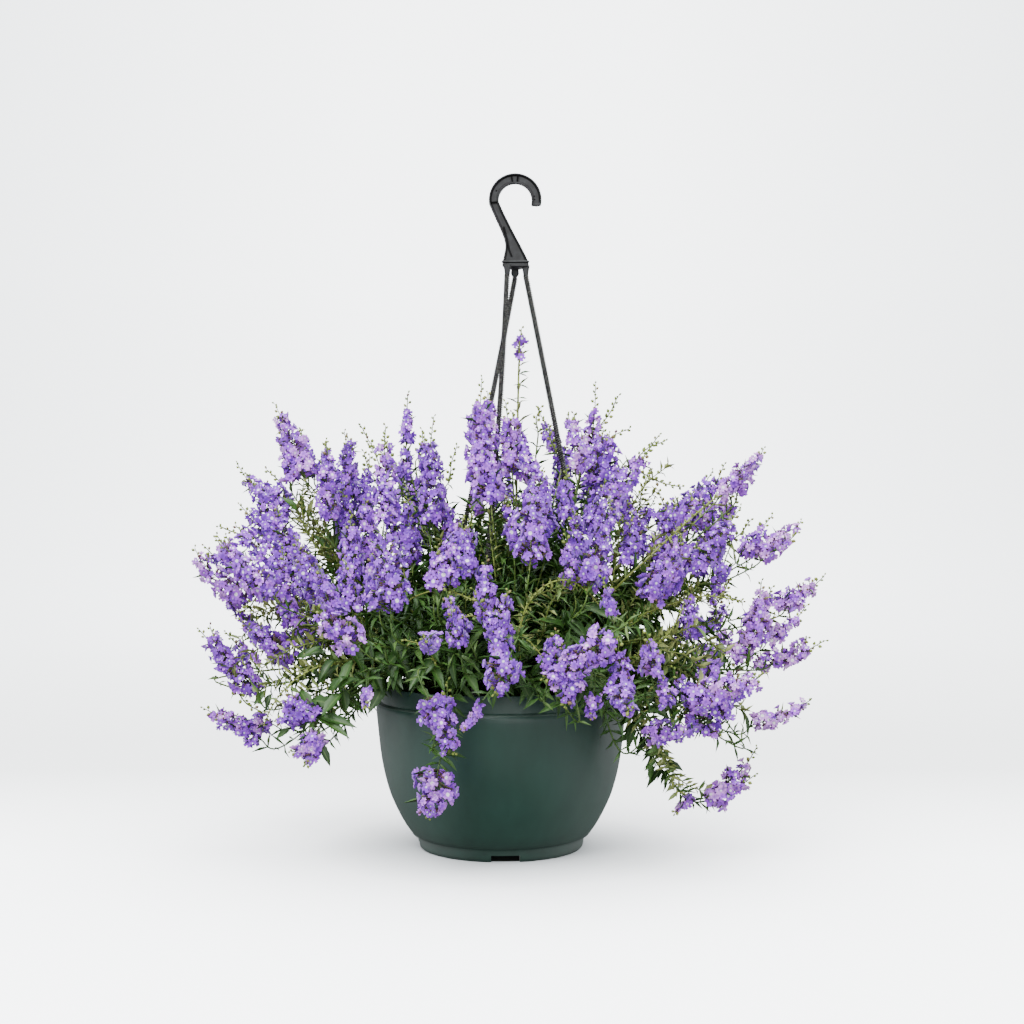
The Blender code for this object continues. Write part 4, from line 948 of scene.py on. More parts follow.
# Leafy stems at both sides, between the flowers and the rim, as pixels with their depths
LEAFY_STEMS = [
    ("left", [
        [(372, 650, -60), (330, 640, -75), (290, 650, -80), (262, 668, -80)],
        [(372, 640, -40), (325, 616, -50), (286, 606, -50), (254, 612, -45)],
        [(376, 676, -60), (340, 682, -85), (306, 690, -95), (282, 704, -95)],
        [(370, 660, -60), (322, 664, -85), (286, 676, -90), (258, 692, -85)],
        [(340, 640, -40), (290, 640, -50), (252, 652, -40), (232, 668, -36)],
        [(350, 620, 30), (300, 606, 40), (262, 616, 40), (240, 640, 36)],
        [(366, 700, -60), (340, 706, -85), (322, 722, -96), (312, 742, -98)],
        [(330, 560, 20), (306, 530, 20), (302, 500, 20), (304, 482, 20)],
    ]),
    ("right", [
        [(628, 700, -90), (650, 722, -120), (660, 748, -125), (668, 772, -120), (678, 792, -112)],
        [
            (640, 706, -76), (655, 734, -90), (665, 758, -90), (675, 774, -88), (689, 786, -86),
            (704, 791, -86),
        ],
        [(640, 640, -90), (662, 650, -118), (684, 655, -122), (700, 668, -120)],
        [(630, 668, -90), (652, 642, -118), (674, 634, -122), (694, 626, -120)],
        [(626, 712, -90), (640, 728, -112), (650, 742, -116), (656, 758, -112)],
        [(628, 690, -80), (660, 698, -110), (690, 710, -115), (708, 724, -115)],
        [(606, 650, -60), (650, 642, -80), (684, 650, -85), (714, 664, -80)],
        [(600, 620, -40), (650, 610, -50), (690, 604, -50), (722, 594, -40)],
        [(610, 560, 0), (650, 552, 20), (684, 572, 30), (706, 562, 30)],
        [(620, 668, -70), (660, 664, -90), (690, 676, -95), (724, 700, -90), (744, 712, -86)],
        [(630, 600, 30), (664, 580, 40), (694, 590, 40), (722, 580, 40)],
        [(616, 540, 20), (632, 506, 20), (648, 482, 20), (668, 466, 20)],
    ]),
    ("left", [
        [(362, 600, 0), (344, 572, 5), (330, 545, 10), (324, 515, 15)],
        [(352, 584, 25), (328, 560, 30), (308, 534, 30), (296, 506, 30)],
        [(366, 578, 40), (350, 548, 40), (338, 520, 40), (332, 498, 40)],
        [(340, 560, 50), (322, 538, 50), (312, 516, 50), (310, 500, 50)],
        [(350, 622, -20), (322, 612, -30), (300, 600, -30), (286, 584, -30)],
        [(346, 640, -30), (316, 630, -40), (296, 626, -40), (280, 618, -40)],
    ]),
    ("front_right", [
        [(497, 604, -88), (495, 572, -90), (491, 542, -88), (489, 512, -84)],
        [(506, 600, -60), (508, 570, -60), (506, 540, -56), (503, 510, -50)],
        [(520, 610, -40), (520, 580, -40), (516, 550, -36), (512, 530, -30)],
    ]),
    ("front_left", [
        [(478, 600, -50), (474, 572, -50), (468, 548, -46), (462, 524, -40)],
        [(486, 590, -10), (484, 560, -10), (482, 535, -6), (480, 512, 0)],
        [(450, 590, -60), (446, 560, -56), (440, 535, -50)],
        [(410, 590, -60), (402, 560, -56), (398, 540, -50), (392, 520, -40)],
    ]),
    ("right", [
        [(606, 600, -60), (614, 572, -60), (618, 545, -50), (620, 520, -40)],
        [(626, 610, -60), (640, 584, -60), (650, 560, -56), (656, 536, -50)],
        [(610, 590, -20), (628, 570, -10), (640, 550, 0), (646, 530, 0)],
        [(640, 620, -50), (664, 606, -56), (686, 598, -56), (700, 584, -50)],
        [(650, 560, 20), (676, 540, 30), (690, 520, 30), (700, 500, 30)],
        [(650, 640, -90), (680, 632, -100), (706, 640, -100), (724, 652, -96)],
        [(628, 530, 40), (640, 508, 40), (655, 492, 40)],
        [(660, 600, 0), (690, 580, 10), (706, 556, 14), (716, 536, 14)],
    ]),
    ("left", [
        [(356, 560, 45), (344, 530, 50), (336, 506, 50), (330, 484, 50)],
        [(348, 590, 10), (336, 566, 16), (322, 540, 20), (314, 512, 20)],
        [(360, 600, 50), (340, 580, 55), (320, 566, 60), (304, 556, 60)],
        [(330, 600, 40), (310, 580, 45), (292, 560, 45), (280, 540, 45)],
        [(330, 610, 10), (300, 590, 10), (276, 572, 10), (256, 556, 10)],
        [(340, 590, 60), (308, 560, 60), (288, 536, 60), (274, 516, 60)],
    ]),
    ("front_right", [[(500, 600, 20), (498, 570, 25), (494, 540, 30), (488, 510, 30)]]),
    ("front_left", [[(470, 600, 30), (472, 570, 36), (474, 540, 40), (470, 508, 40)]]),
    ("front_right", [
        [(484, 580, 60), (492, 550, 60), (500, 520, 60), (506, 496, 60)],
        [(540, 640, -120), (548, 610, -140), (560, 590, -146), (580, 580, -146)],
        [(520, 640, -110), (524, 612, -136), (536, 596, -146), (556, 588, -150)],
    ]),
]
# Yellow-green bare stems that arch across the front of the leaves: clump, radius in mm, and pixels with
# their depths
BARE_STEMS = [
    ("right", 1.4, [(620, 584, -96), (650, 556, -99), (682, 526, -96), (704, 507, -90), (718, 496, -85)]),
    ("front_left", 1.15, [
        (408, 606, -90), (428, 592, -120), (452, 592, -140), (480, 604, -150), (508, 622, -158),
        (532, 644, -165), (546, 662, -170),
    ]),
    ("front_right", 1.15, [
        (520, 662, -120), (519, 636, -140), (527, 606, -150), (545, 586, -150), (566, 580, -148),
        (586, 590, -140), (598, 604, -130),
    ]),
    ("front_left", 1.0, [(444, 690, -120), (436, 664, -150), (424, 646, -160), (404, 640, -165)]),
    ("front_right", 1.0, [(500, 640, -130), (486, 622, -160), (470, 616, -172), (452, 622, -180)]),
    ("right", 1.1, [(600, 640, -60), (640, 616, -90), (672, 604, -100), (706, 596, -100), (741, 601, -95)]),
    ("right", 1.1, [(606, 664, -60), (640, 655, -110), (662, 640, -130), (676, 622, -135), (684, 604, -135)]),
    ("left", 1.1, [(392, 640, -30), (352, 612, -60), (330, 590, -70), (312, 566, -80)]),
    ("left", 1.1, [(372, 668, -20), (332, 664, -80), (300, 676, -100), (276, 700, -105), (264, 724, -105)]),
]
# Leafy shoots without flowers: short and upright in the middle, spreading over the rim at the edge
SHOOTS_IN_CLUMP = 30
SHOOT_ROOT = 0.150
SHOOT_REACH = (0.018, 0.200)
FRONT_REACH = 0.158
SHOOT_TOP = 0.345
SHOOT_SLOPE = 1.02
LOWEST_SHOOT = 0.166


def root_of(clump, height=0.155):
    """The middle of a clump's rooted crown."""
    return bearing(CLUMPS[clump]) * STOCK_CIRCLE + Vector((0, 0, height))


def stem_route(clump, base, tip, passes, draw):
    """A stem's line from inside its rooted crown to where its florets begin."""
    along = (tip - base).normalized()
    root = root_of(clump, draw.uniform(*STEM_ROOTS))
    approach = (base - root).normalized()
    direction = (along * LEAD_FOLLOWS + approach * (1 - LEAD_FOLLOWS)).normalized()
    lead = base - direction * min(LEAD_LENGTH, (base - root).length * LEAD_SHARE)
    if passes:
        return through([root] + [Vector(place) * MM for place in passes] + [base], 8)
    flat = Vector((base.x, base.y, 0))
    bend = root.lerp(lead, STEM_ARCH_AT) + Vector((0, 0, STEM_ARCH))
    if flat.length > SHOULDER_RADIUS + SHOULDER_OUT and lead.z < SHOULDER_HEIGHT + SHOULDER_UP:
        bend = flat.normalized() * SHOULDER_RADIUS + Vector((0, 0, SHOULDER_HEIGHT))
    return through([root, bend, lead, base], 8)


def line_length(line):
    return sum((b - a).length for a, b in zip(line, line[1:]))


def any_way(draw):
    return Vector([draw.uniform(-1, 1) for _ in range(3)])


class Spike:
    """One flower spike: its stem's line, its slightly bowed axis, its width and its tone with painted light.
    """

    def __init__(self, clump, base, tip, width, bud_tip, fullness, passes, draw):
        self.clump = clump
        self.base = base
        self.tip = tip
        self.width = width * MM
        self.bud_tip = bud_tip * MM
        self.fullness = fullness
        self.along = (tip - base).normalized()
        self.length = (tip - base).length
        self.route = stem_route(clump, base, tip, passes, draw)
        self.bow = self.along.cross(any_way(growing)).normalized() * self.length * SPIKE_BOW
        # Painted light and shade: front spikes are painted lighter and back ones darker, plus a random tone.
        self.shade = 0.40 - (base.y + tip.y) * 0.4 + self.standing_out_light() + growing.uniform(-0.26, 0.20)
        if fullness < FULL:
            self.shade -= 0.7
        rise = (self.along + Vector((0, 0, 0.3)) + any_way(growing) * 0.25).normalized()
        self.end = tip + rise * self.bud_tip
        # Two directions square to the axis
        self.side = self.along.orthogonal().normalized()
        self.other = self.along.cross(self.side)

    def standing_out_light(self):
        """Painted light: how much paler the spike is painted where it stands out from the mass."""
        aside = max(self.tip.x - 0.21, 0) * 6.5 + max(-self.tip.x - 0.23, 0) * 4
        return aside + max(self.tip.z - 0.38, 0) * 4 + max(0.17 - self.tip.z, 0) * 3

    def at(self, share):
        return self.base.lerp(self.tip, share) + self.bow * (4 * share * (1 - share))


rooting = random.Random(41)
growing = random.Random(77)
spikes = []
nodes_of = {clump: [] for clump in CLUMPS}
for clump, rows in SPIKES.items():
    for letter, (base, tip, width, bud_tip, *less) in zip("abcdefghijkl", rows):
        nodes_of[clump].append("spike_%s_%s" % (clump, letter))
        passes = TRAILING_STEM if (clump, letter) == ("right", "l") else []
        ends = (Vector(base) * MM, Vector(tip) * MM)
        spikes.append(Spike(clump, *ends, width, bud_tip, less[0] if less else FULL, passes, rooting))
for clump, rows in SIDE_SPIKES:
    for x, y, tip_x, tip_y, base_depth, tip_depth, width in rows:
        base = seen_at(x, y, base_depth)
        tip = seen_at(tip_x, tip_y, tip_depth)
        passes = TRAILING_STEM if clump == "right" and y > LOWEST_SHOULDER_PIXEL else []
        bud_tip = growing.uniform(8, 20) if tip.z > base.z else growing.uniform(3, 6)
        spikes.append(Spike(clump, base, tip, width, bud_tip, FULL, passes, growing))
for turn, reach, height, tip_turn, tip_reach, tip_height in BACK_SPIKES:
    clump = min(CLUMPS, key=lambda c: abs((CLUMPS[c] - turn + 180) % 360 - 180))
    base = bearing(turn) * reach * MM + Vector((0, 0, height * MM))
    tip = bearing(tip_turn) * tip_reach * MM + Vector((0, 0, tip_height * MM))
    spikes.append(Spike(clump, base, tip, growing.uniform(30, 38), growing.uniform(8, 20), FULL, [], growing))

shoots = []
for clump, middle in CLUMPS.items():
    farthest = FRONT_REACH if "front" in clump else SHOOT_REACH[1]
    for share in [(number + 0.5) / SHOOTS_IN_CLUMP for number in range(SHOOTS_IN_CLUMP)]:
        reach = SHOOT_REACH[0] + (farthest - SHOOT_REACH[0]) * share**0.75
        turn = middle + growing.uniform(-36, 36)
        top = SHOOT_TOP - SHOOT_SLOPE * max(reach - STOCK_CIRCLE, 0) + growing.uniform(-0.045, 0.015)
        top = max(top, LOWEST_SHOOT)
        end = bearing(turn) * reach + Vector((0, 0, top))
        root = bearing(middle) * STOCK_CIRCLE
        root += Vector((growing.uniform(-9, 9) * MM, growing.uniform(-9, 9) * MM, SHOOT_ROOT))
        bend = root.lerp(end, 0.5) + Vector((0, 0, 0.02))
        if top < SHOULDER_HEIGHT and reach > SHOULDER_RADIUS:
            bend = bearing(turn) * SHOULDER_RADIUS + Vector((0, 0, SHOULDER_HEIGHT + 0.004))
        shoots.append((clump, through([root, bend, end], 5)))

# Sprays and bare stems, as (clump, line, how long the budding part is, radius in mm)
sprays = []
for clump, rows in SPRAYS:
    for x, y, tip_x, tip_y, depth in rows:
        base = seen_at(x, y, depth)
        tip = seen_at(tip_x, tip_y, depth)
        bow = (tip - base).cross(any_way(growing)).normalized() * (tip - base).length * SPRAY_BOW
        start = base - (tip - base).normalized() * 0.02
        rise = root_of(clump).lerp(start, 0.45) + Vector((0, 0, 0.02))
        route = through([root_of(clump), rise, start, base, (base + tip) / 2 + bow, tip], 5)
        sprays.append((clump, route, (tip - base).length + 0.004, 1.1))
spray_count = len(sprays)


def stem_by_pixels(clump, pixels):
    """A stem from its rooted crown through places that the photo shows, and the length of the shown part."""
    shown = [seen_at(*place) for place in pixels]
    rise = root_of(clump).lerp(shown[0], 0.5) + Vector((0, 0, 0.015))
    return through([root_of(clump), rise] + shown, 5), line_length(shown)


for clump, thick, pixels in BARE_STEMS:
    route, shown = stem_by_pixels(clump, pixels)
    sprays.append((clump, route, shown * 0.75, thick))
leafy_stems = [(clump, *stem_by_pixels(clump, pixels)) for clump, rows in LEAFY_STEMS for pixels in rows]

sweeping, given, result = new_tree("sweep_stems", [("Sides", "Int")])
line = add_node(sweeping, "GeometryNodeMeshToCurve", {"Mesh": given["Geometry"]})["Curve"]
round_section = {"Resolution": given["Sides"], "Radius": 1.0}
circle = add_node(sweeping, "GeometryNodeCurvePrimitiveCircle", round_section)["Curve"]
thickness = add_node(sweeping, "GeometryNodeInputNamedAttribute", {"Name": "thickness"}, data_type="FLOAT")[0]
sweep = {"Curve": line, "Profile Curve": circle, "Scale": thickness, "Fill Caps": True}
swept = add_node(sweeping, "GeometryNodeCurveToMesh", sweep)["Mesh"]
smooth = add_node(sweeping, "GeometryNodeSetShadeSmooth", {"Geometry": swept})["Geometry"]
end_tree(sweeping, given, result, smooth)

# A fresh green stem: yellow-green, with darker and purplish stretches of about 25 mm, and slightly waxy, and
# painted darker green low in the plant, as painted shade. The bare stems in front are paler, as the photo
# shows them.
stem_skin, tree, surface, place = new_material("green_stem_skin", 0.5, 1.45)
patches = add_node(tree, "ShaderNodeTexNoise", {"Vector": place, "Scale": 40.0, "Detail": 3})["Fac"]
greens = [(0.30, "#36501f"), (0.48, "#52702e"), (0.66, "#7b8e44"), (0.85, "#62543e")]
colour = add_node(tree, "ShaderNodeValToRGB", {"Fac": patches}, greens)["Color"]
height = add_node(tree, "ShaderNodeSeparateXYZ", {"Vector": place})["Z"]
# Painted shade: stems are painted darker green below 0.27 m, inside the plant.
colour = laid_over(tree, colour, "#3a5a26", height, 0.16, 0.27, share=0.0, least=0.75)
pale = add_node(tree, "ShaderNodeAttribute", attribute_name="paleness")["Fac"]
feed(surface, {"Base Color": laid_over(tree, colour, "#939e4c", pale)})

# Each clump's stems, as rows of (place, radius, how pale it is)
stem_lines = {clump: [] for clump in CLUMPS}
for spike in spikes:
    bare = [spike.tip, spike.tip.lerp(spike.end, 0.5), spike.end]
    axis = spike.route + [spike.at(0.25), spike.at(0.5), spike.at(0.75)] + bare
    foot = axis[0] + Vector((growing.uniform(-5, 5) * MM, growing.uniform(-5, 5) * MM, 0))
    foot.z = STEM_FOOT
    axis = [foot] + axis
    whole = line_length(axis)
    span = line_length(axis[:-6])
    run = 0
    line = []
    sturdy, pale = (1.45, 0.7) if spike.fullness < FULL else (1.0, 0.0)
    for k, spot in enumerate(axis):
        run += (spot - axis[k - 1]).length if k else 0
        if run < span:
            thick = STEM_THICK[0] + (STEM_THICK[1] - STEM_THICK[0]) * run / span
        else:
            thick = STEM_THICK[1] + (STEM_THICK[2] - STEM_THICK[1]) * (run - span) / (whole - span)
        line.append((spot, thick * sturdy, pale))
    stem_lines[spike.clump].append(line)


def add_stem(clump, route, foot, end, pale):
    """Adds a stem that thins evenly from its foot to its end, with these radii in mm."""
    count = len(route) - 1
    line = [(spot, (foot + (end - foot) * k / count) * MM, pale) for k, spot in enumerate(route)]
    stem_lines[clump].append(line)


for clump, route in shoots:
    add_stem(clump, route, 1.2, 0.5, 0.0)
for number, (clump, route, _, thick) in enumerate(sprays):
    add_stem(clump, route, thick, thick * 0.55, 0.25 if number < spray_count else 0.75)
for clump, route, _ in leafy_stems:
    add_stem(clump, route, 1.2, 0.5, 0.3)
for clump, lines in stem_lines.items():
    points = []
    edges = []
    for line in lines:
        edges += [(len(points) + k, len(points) + k + 1) for k in range(len(line) - 1)]
        points += [spot for spot, _, _ in line]
    stems = new_object("stems_" + clump, points, [], edges)
    for column, title in ((1, "thickness"), (2, "paleness")):
        mark(stems, title, [row[column] for line in lines for row in line])
    run_tree(stems, sweeping, {"Sides": STEM_SIDES, "Finish": stem_skin})
    finish_piece(stems, stem_skin, "foliage", "plant_" + clump)

# Broad leaves
# Lance-shaped leaves in pairs, each pair square to the next, with a few coarse teeth along their edges. They
# are largest low on the stems and over the rim.
LEAF_PITCH = 0.019
LEAF_LOW = 0.050
LEAF_HIGH = 0.015
LEAF_WIDTH_SHARE = 0.20
LEAF_OUTLINE = [(0.0, 0.12), (0.18, 0.72), (0.33, 1.0), (0.44, 0.86), (0.58, 0.92), (0.78, 0.52)]
# How far each kind of leaf droops, twists and folds
LEAF_BENDS = [(0.10, 0.0, 0.10), (0.28, 0.5, 0.06), (0.40, -0.4, 0.12), (0.18, 0.8, 0.08)]
LEAF_THICKNESS = 0.012
HIGHEST_BROAD_LEAF = 0.290
BRACT_SPACING = 0.008
BRACT_WIDTH = 0.0016
LEAFY_STEM_LIGHT = 0.48
# How much lighter and yellower the leaves behind the axis are painted, as painted light between the spikes
BACK_LEAF_PAINTED_LIGHT = 0.34
# What leaves and flowers keep clear of: the basket's wall as (inner, outer) radius, its rim and the soil
WALL_RADII = (0.117, 0.128)
RIM_TOP = 0.165
SOIL_REACH = 0.125
# Leaves that the photo shows one by one: pixel of base and of tip, depth of both, and width in mm
SHOWN_LEAVES = [
    ("left", [
        (346, 640, 369, 668, -110, -135, 15), (392, 622, 414, 688, -120, -140, 13),
        (373, 652, 405, 682, -110, -135, 12), (343, 688, 347, 713, -100, -110, 10),
        (384, 686, 368, 714, -118, -135, 12), (318, 716, 358, 726, -112, -125, 11),
        (318, 718, 351, 737, -112, -130, 10), (318, 742, 334, 766, -118, -125, 9),
        (328, 690, 353, 674, -100, -120, 12), (296, 658, 324, 645, -80, -95, 10),
        (318, 684, 333, 661, -90, -105, 11), (266, 690, 253, 706, -60, -70, 7),
        (271, 694, 264, 709, -62, -72, 7), (290, 729, 274, 737, -110, -118, 7),
        (312, 700, 338, 704, -105, -122, 13), (300, 690, 316, 716, -100, -112, 13),
        (352, 660, 338, 690, -100, -118, 12),
    ]),
    ("front_left", [
        (388, 636, 417, 682, -125, -150, 13), (441, 648, 417, 682, -140, -160, 11),
        (452, 650, 453, 688, -145, -165, 9), (428, 658, 446, 692, -140, -162, 11),
        (378, 660, 406, 684, -120, -148, 12), (402, 650, 383, 668, -120, -140, 11),
        (416, 686, 432, 695, -142, -152, 8), (462, 668, 482, 694, -150, -166, 10),
        (440, 755, 468, 752, -155, -160, 8), (440, 757, 460, 768, -155, -162, 6),
        (440, 756, 428, 745, -155, -158, 6),
    ]),
    ("front_right", [
        (584, 606, 620, 620, -120, -140, 14), (562, 610, 592, 640, -125, -150, 12),
        (560, 640, 532, 668, -130, -155, 10), (556, 684, 560, 710, -140, -152, 9),
        (520, 680, 534, 704, -140, -152, 9),
    ]),
    ("right", [
        (648, 706, 672, 714, -100, -118, 11), (640, 690, 664, 702, -90, -110, 11),
        (718, 652, 727, 670, -80, -90, 8), (652, 763, 649, 783, -84, -92, 8),
        (661, 768, 645, 788, -84, -94, 9), (665, 761, 686, 768, -84, -90, 8),
        (668, 769, 659, 785, -84, -90, 8),
    ]),
    ("left", [
        (334, 660, 317, 674, -95, -112, 9), (350, 673, 328, 691, -105, -122, 10),
        (362, 679, 335, 687, -108, -122, 8), (321, 646, 296, 659, -90, -102, 7),
        (342, 693, 320, 715, -112, -126, 14), (366, 640, 374, 664, -112, -130, 9),
    ]),
    ("front_left", [
        (372, 668, 384, 692, -122, -138, 9), (396, 662, 392, 690, -130, -146, 9),
        (424, 640, 440, 660, -150, -166, 9), (424, 664, 408, 690, -140, -155, 10),
    ]),
    ("right", [
        (634, 722, 626, 752, -90, -104, 9), (745, 713, 749, 738, -86, -90, 5),
        (704, 792, 712, 817, -86, -90, 5),
    ]),
    ("left", [
        (334, 552, 326, 520, 20, 10, 9), (330, 556, 318, 530, 20, 10, 8), (336, 546, 334, 510, 20, 14, 8),
        (340, 560, 341, 528, 25, 18, 8), (331, 574, 328, 550, 20, 10, 8), (338, 576, 336, 552, 20, 10, 9),
        (356, 574, 352, 546, 20, 10, 8), (362, 570, 366, 542, 20, 10, 8), (297, 512, 284, 492, 30, 24, 8),
        (304, 516, 300, 490, 30, 24, 8), (308, 520, 312, 496, 30, 24, 6),
    ]),
    ("front_right", [
        (519.5, 374, 530, 370, -31, -36, 1.8), (519.5, 374, 528, 376, -31, -36, 1.6),
        (519.4, 385, 513, 385, -31, -34, 1.5), (519.4, 385, 529, 388, -31, -36, 2.2),
        (519, 398, 511, 399, -31, -36, 1.8), (519, 398, 527, 397, -31, -36, 1.8),
    ]),
]

chosen = [("Shapes", "Collection"), ("Last Shape", "Int"), ("Tone Spread", "Float"), ("Seed", "Int")]
planting, given, result = new_tree("set_on_points", chosen)
facing, upward, stretch = [
    add_node(planting, "GeometryNodeInputNamedAttribute", {"Name": title}, data_type="FLOAT_VECTOR")[0]
    for title in ("facing", "upward", "stretch")
]
# Each point's tone carries painted light and shade for leaves and florets, besides a random part.
shade = add_node(planting, "GeometryNodeInputNamedAttribute", {"Name": "shade"}, data_type="FLOAT")[0]
axes = {"Primary Axis": facing, "Secondary Axis": upward}
turn = add_node(planting, "FunctionNodeAxesToRotation", axes, primary_axis="Z", secondary_axis="Y")[0]
drawing = {2: -0.5, 3: 0.5, "Seed": given["Seed"]}
chance = add_node(planting, "FunctionNodeRandomValue", drawing, data_type="FLOAT")[1]
toning = {0: chance, 1: given["Tone Spread"], 2: shade}
tone = add_node(planting, "ShaderNodeMath", toning, operation="MULTIPLY_ADD")["Value"]
set_shapes(planting, given, result, given["Geometry"], turn, stretch, tone)


def plant_out(kind, places_of, shapes, spread, seed, finish, slot, nodes):
    """Makes one piece for each clump from its (place, facing, upward, stretch, tone with painted light) rows.
    """
    group = group_of(kind + "_shapes", shapes)
    for number, (clump, rows) in enumerate(places_of.items()):
        piece = new_object(kind + "_" + clump, [row[0] for row in rows], [])
        for column, title in ((1, "facing"), (2, "upward"), (3, "stretch")):
            mark(piece, title, [part for row in rows for part in row[column]], "FLOAT_VECTOR", key="vector")
        mark(piece, "shade", [row[4] for row in rows])
        values = {"Shapes": group, "Last Shape": len(shapes) - 1, "Tone Spread": spread, "Finish": finish}
        run_tree(piece, planting, {"Seed": seed + number, **values})
        for title in ("facing", "upward", "stretch", "shade"):
            spent = piece.data.attributes.get(title)
            if spent:
                piece.data.attributes.remove(spent)
        finish_piece(piece, finish, slot, *nodes[clump])
    drop_group(group)


def small_shape(name, points, faces, marks, rims):
    """A shape to repeat, with values on its points, given by name, and its rim edges kept sharp."""
    made = new_object(name, points, faces)
    made.data.shade_smooth()
    for title, values in marks.items():
        mark(made, title, values)
    rims = {tuple(sorted(pair)) for pair in rims}
    sharp = [tuple(sorted(edge.vertices)) in rims for edge in made.data.edges]
    mark(made, "sharp_edge", sharp, "BOOLEAN", "EDGE")
    return made


def leaf_shape(name, outline, droop, twist, fold, thickness):
    """A leaf one unit long along Z and one unit wide along X, with its upper side towards +Y."""
    points = []
    rib = []

    def bend(x, t, lift):
        angle = twist * t
        height = lift - droop * t * t + x * math.sin(angle) * 0.3
        return Vector((x * math.cos(angle), height, t - droop * t * t * 0.35))

    for t, w in outline:
        points += [bend(-w / 2, t, fold * w), bend(0, t, 0), bend(w / 2, t, fold * w), bend(0, t, -thickness)]
        rib += [0.0, 1.0, 0.0, 1.0]
    points.append(bend(0, 1, 0))
    rib.append(0.4)
    last = len(points) - 1
    faces = []
    rims = []
    for a in range(0, last - 4, 4):
        b = a + 4
        faces += [[a, a + 1, b + 1, b], [a + 1, a + 2, b + 2, b + 1]]
        faces += [[a + 3, a, b, b + 3], [a + 2, a + 3, b + 3, b + 2]]
        rims += [(a, b), (a + 2, b + 2)]
    a = last - 4
    faces += [[a, a + 1, last], [a + 1, a + 2, last], [a + 3, a, last], [a + 2, a + 3, last], [0, 3, 2, 1]]
    rims += [(a, last), (a + 2, last)]
    return small_shape(name, points, [face[::-1] for face in faces], {"rib": rib}, rims)


def tone_colour(tree, stops):
    """The colour that a repeated shape's tone picks from the stops."""
    tone = add_node(tree, "ShaderNodeAttribute", attribute_name="tone")["Fac"]
    return add_node(tree, "ShaderNodeValToRGB", {"Fac": tone}, stops)["Color"]


# Leaf skin: deep green and slightly glossy above, the midrib paler, each leaf a little lighter or yellower
# than the next, at random and by painted shade and light, with fine net veins about 1.5 mm apart.
leaf_skin, tree, surface, place = new_material("angelonia_leaf", 0.46, 1.45)
greens = [(0.0, "#1e3a13"), (0.35, "#31561f"), (0.60, "#466f2c"), (0.82, "#698546"), (1.0, "#959f5c")]
rib = add_node(tree, "ShaderNodeAttribute", attribute_name="rib")["Fac"]
colour = laid_over(tree, tone_colour(tree, greens), "#86a65c", rib, 0.75, 1.0, 0.26)
net = grained(tree, surface, place, 500.0, 3, 0.35, 0.0004)
feed(surface, {"Base Color": laid_over(tree, colour, "#16300f", net, 0.35, 0.65, 0.22)})


def place_on(line, distance):
    """The point at a distance along a line, and the line's direction there."""
    for a, b in zip(line, line[1:]):
        span = (b - a).length
        if distance <= span or b is line[-1]:
            return a + (b - a) * min(distance / span, 1), (b - a).normalized()
        distance -= span


def around(side, other, angle):
    """A direction at an angle between two that are square to each other."""
    return side * math.cos(angle) + other * math.sin(angle)


def is_clear(spot, reach):
    """Whether a point keeps this far from the basket's wall, the soil and the strands."""
    radius = math.hypot(spot.x, spot.y)
    if spot.z < RIM_TOP + reach and WALL_RADII[0] - reach < radius < WALL_RADII[1] + reach:
        return False
    if radius < SOIL_REACH and spot.z < SOIL_TOP + reach * 0.5:
        return False
    for route in strand_lines:
        start = route[1]
        span = route[-1] - start
        t = min(max((spot - start).dot(span) / span.length_squared, 0), 1)
        bow = (route[31] - start.lerp(route[-1], 0.5)) * 4 * t * (1 - t)
        if (spot - start - span * t - bow).length < reach + STRAND_RADIUS:
            return False
    return True


leafing = random.Random(23)
broad_leaves = {clump: [] for clump in CLUMPS}
narrow_leaves = {clump: [] for clump in CLUMPS}


def painted_leaf_tone(spot):
    """Painted shade and light: leaves are darker deep inside the plant and lighter and yellower out and up.
    """
    outward = max(math.hypot(spot.x, spot.y) - 0.09, 0)
    return min(0.24 + max(spot.z - 0.15, 0) * 1.5 + outward * 2.4, 0.8)


def add_leaf(leaves, spot, out, along, length, lean, width, light=0.0):
    """Adds a leaf where it stays clear of the basket, the soil and the strands."""
    sway = along.cross(out) * leafing.uniform(-0.35, 0.35)
    direction = (out + along * lean + sway + Vector((0, 0, leafing.uniform(-0.1, 0.25)))).normalized()
    normal = (Vector((0, 0, 1)) * 0.8 + along * 0.7 - direction * 0.2).normalized()
    if is_clear(spot + direction * length * 0.5, 0.004) and is_clear(spot + direction * length, 0.005):
        leaves.append((spot, direction, normal, (width, length, length), painted_leaf_tone(spot) + light))


def leaf_pairs(leaves, route, start, end, pitch, low, high, width_share, light=0.0):
    """Pairs of leaves along a stem, each pair square to the next."""
    whole = line_length(route)
    count = max(int(whole * (end - start) / pitch), 1)
    turn = leafing.uniform(0, math.tau)
    for k in range(count + 1):
        share = start + (end - start) * (k + leafing.uniform(-0.2, 0.2)) / count
        spot, along = place_on(route, whole * share)
        if leaves in broad_leaves.values() and spot.z > HIGHEST_BROAD_LEAF:
            continue
        side = along.orthogonal().normalized()
        other = along.cross(side)
        for way in (0, math.pi):
            length = (low + (high - low) * share) * leafing.uniform(0.75, 1.2)
            width = length * width_share * leafing.uniform(0.8, 1.2)
            out = around(side, other, turn + math.pi / 2 * k + way)
            add_leaf(leaves, spot, out, along, length, leafing.uniform(0.3, 0.9), width, light)


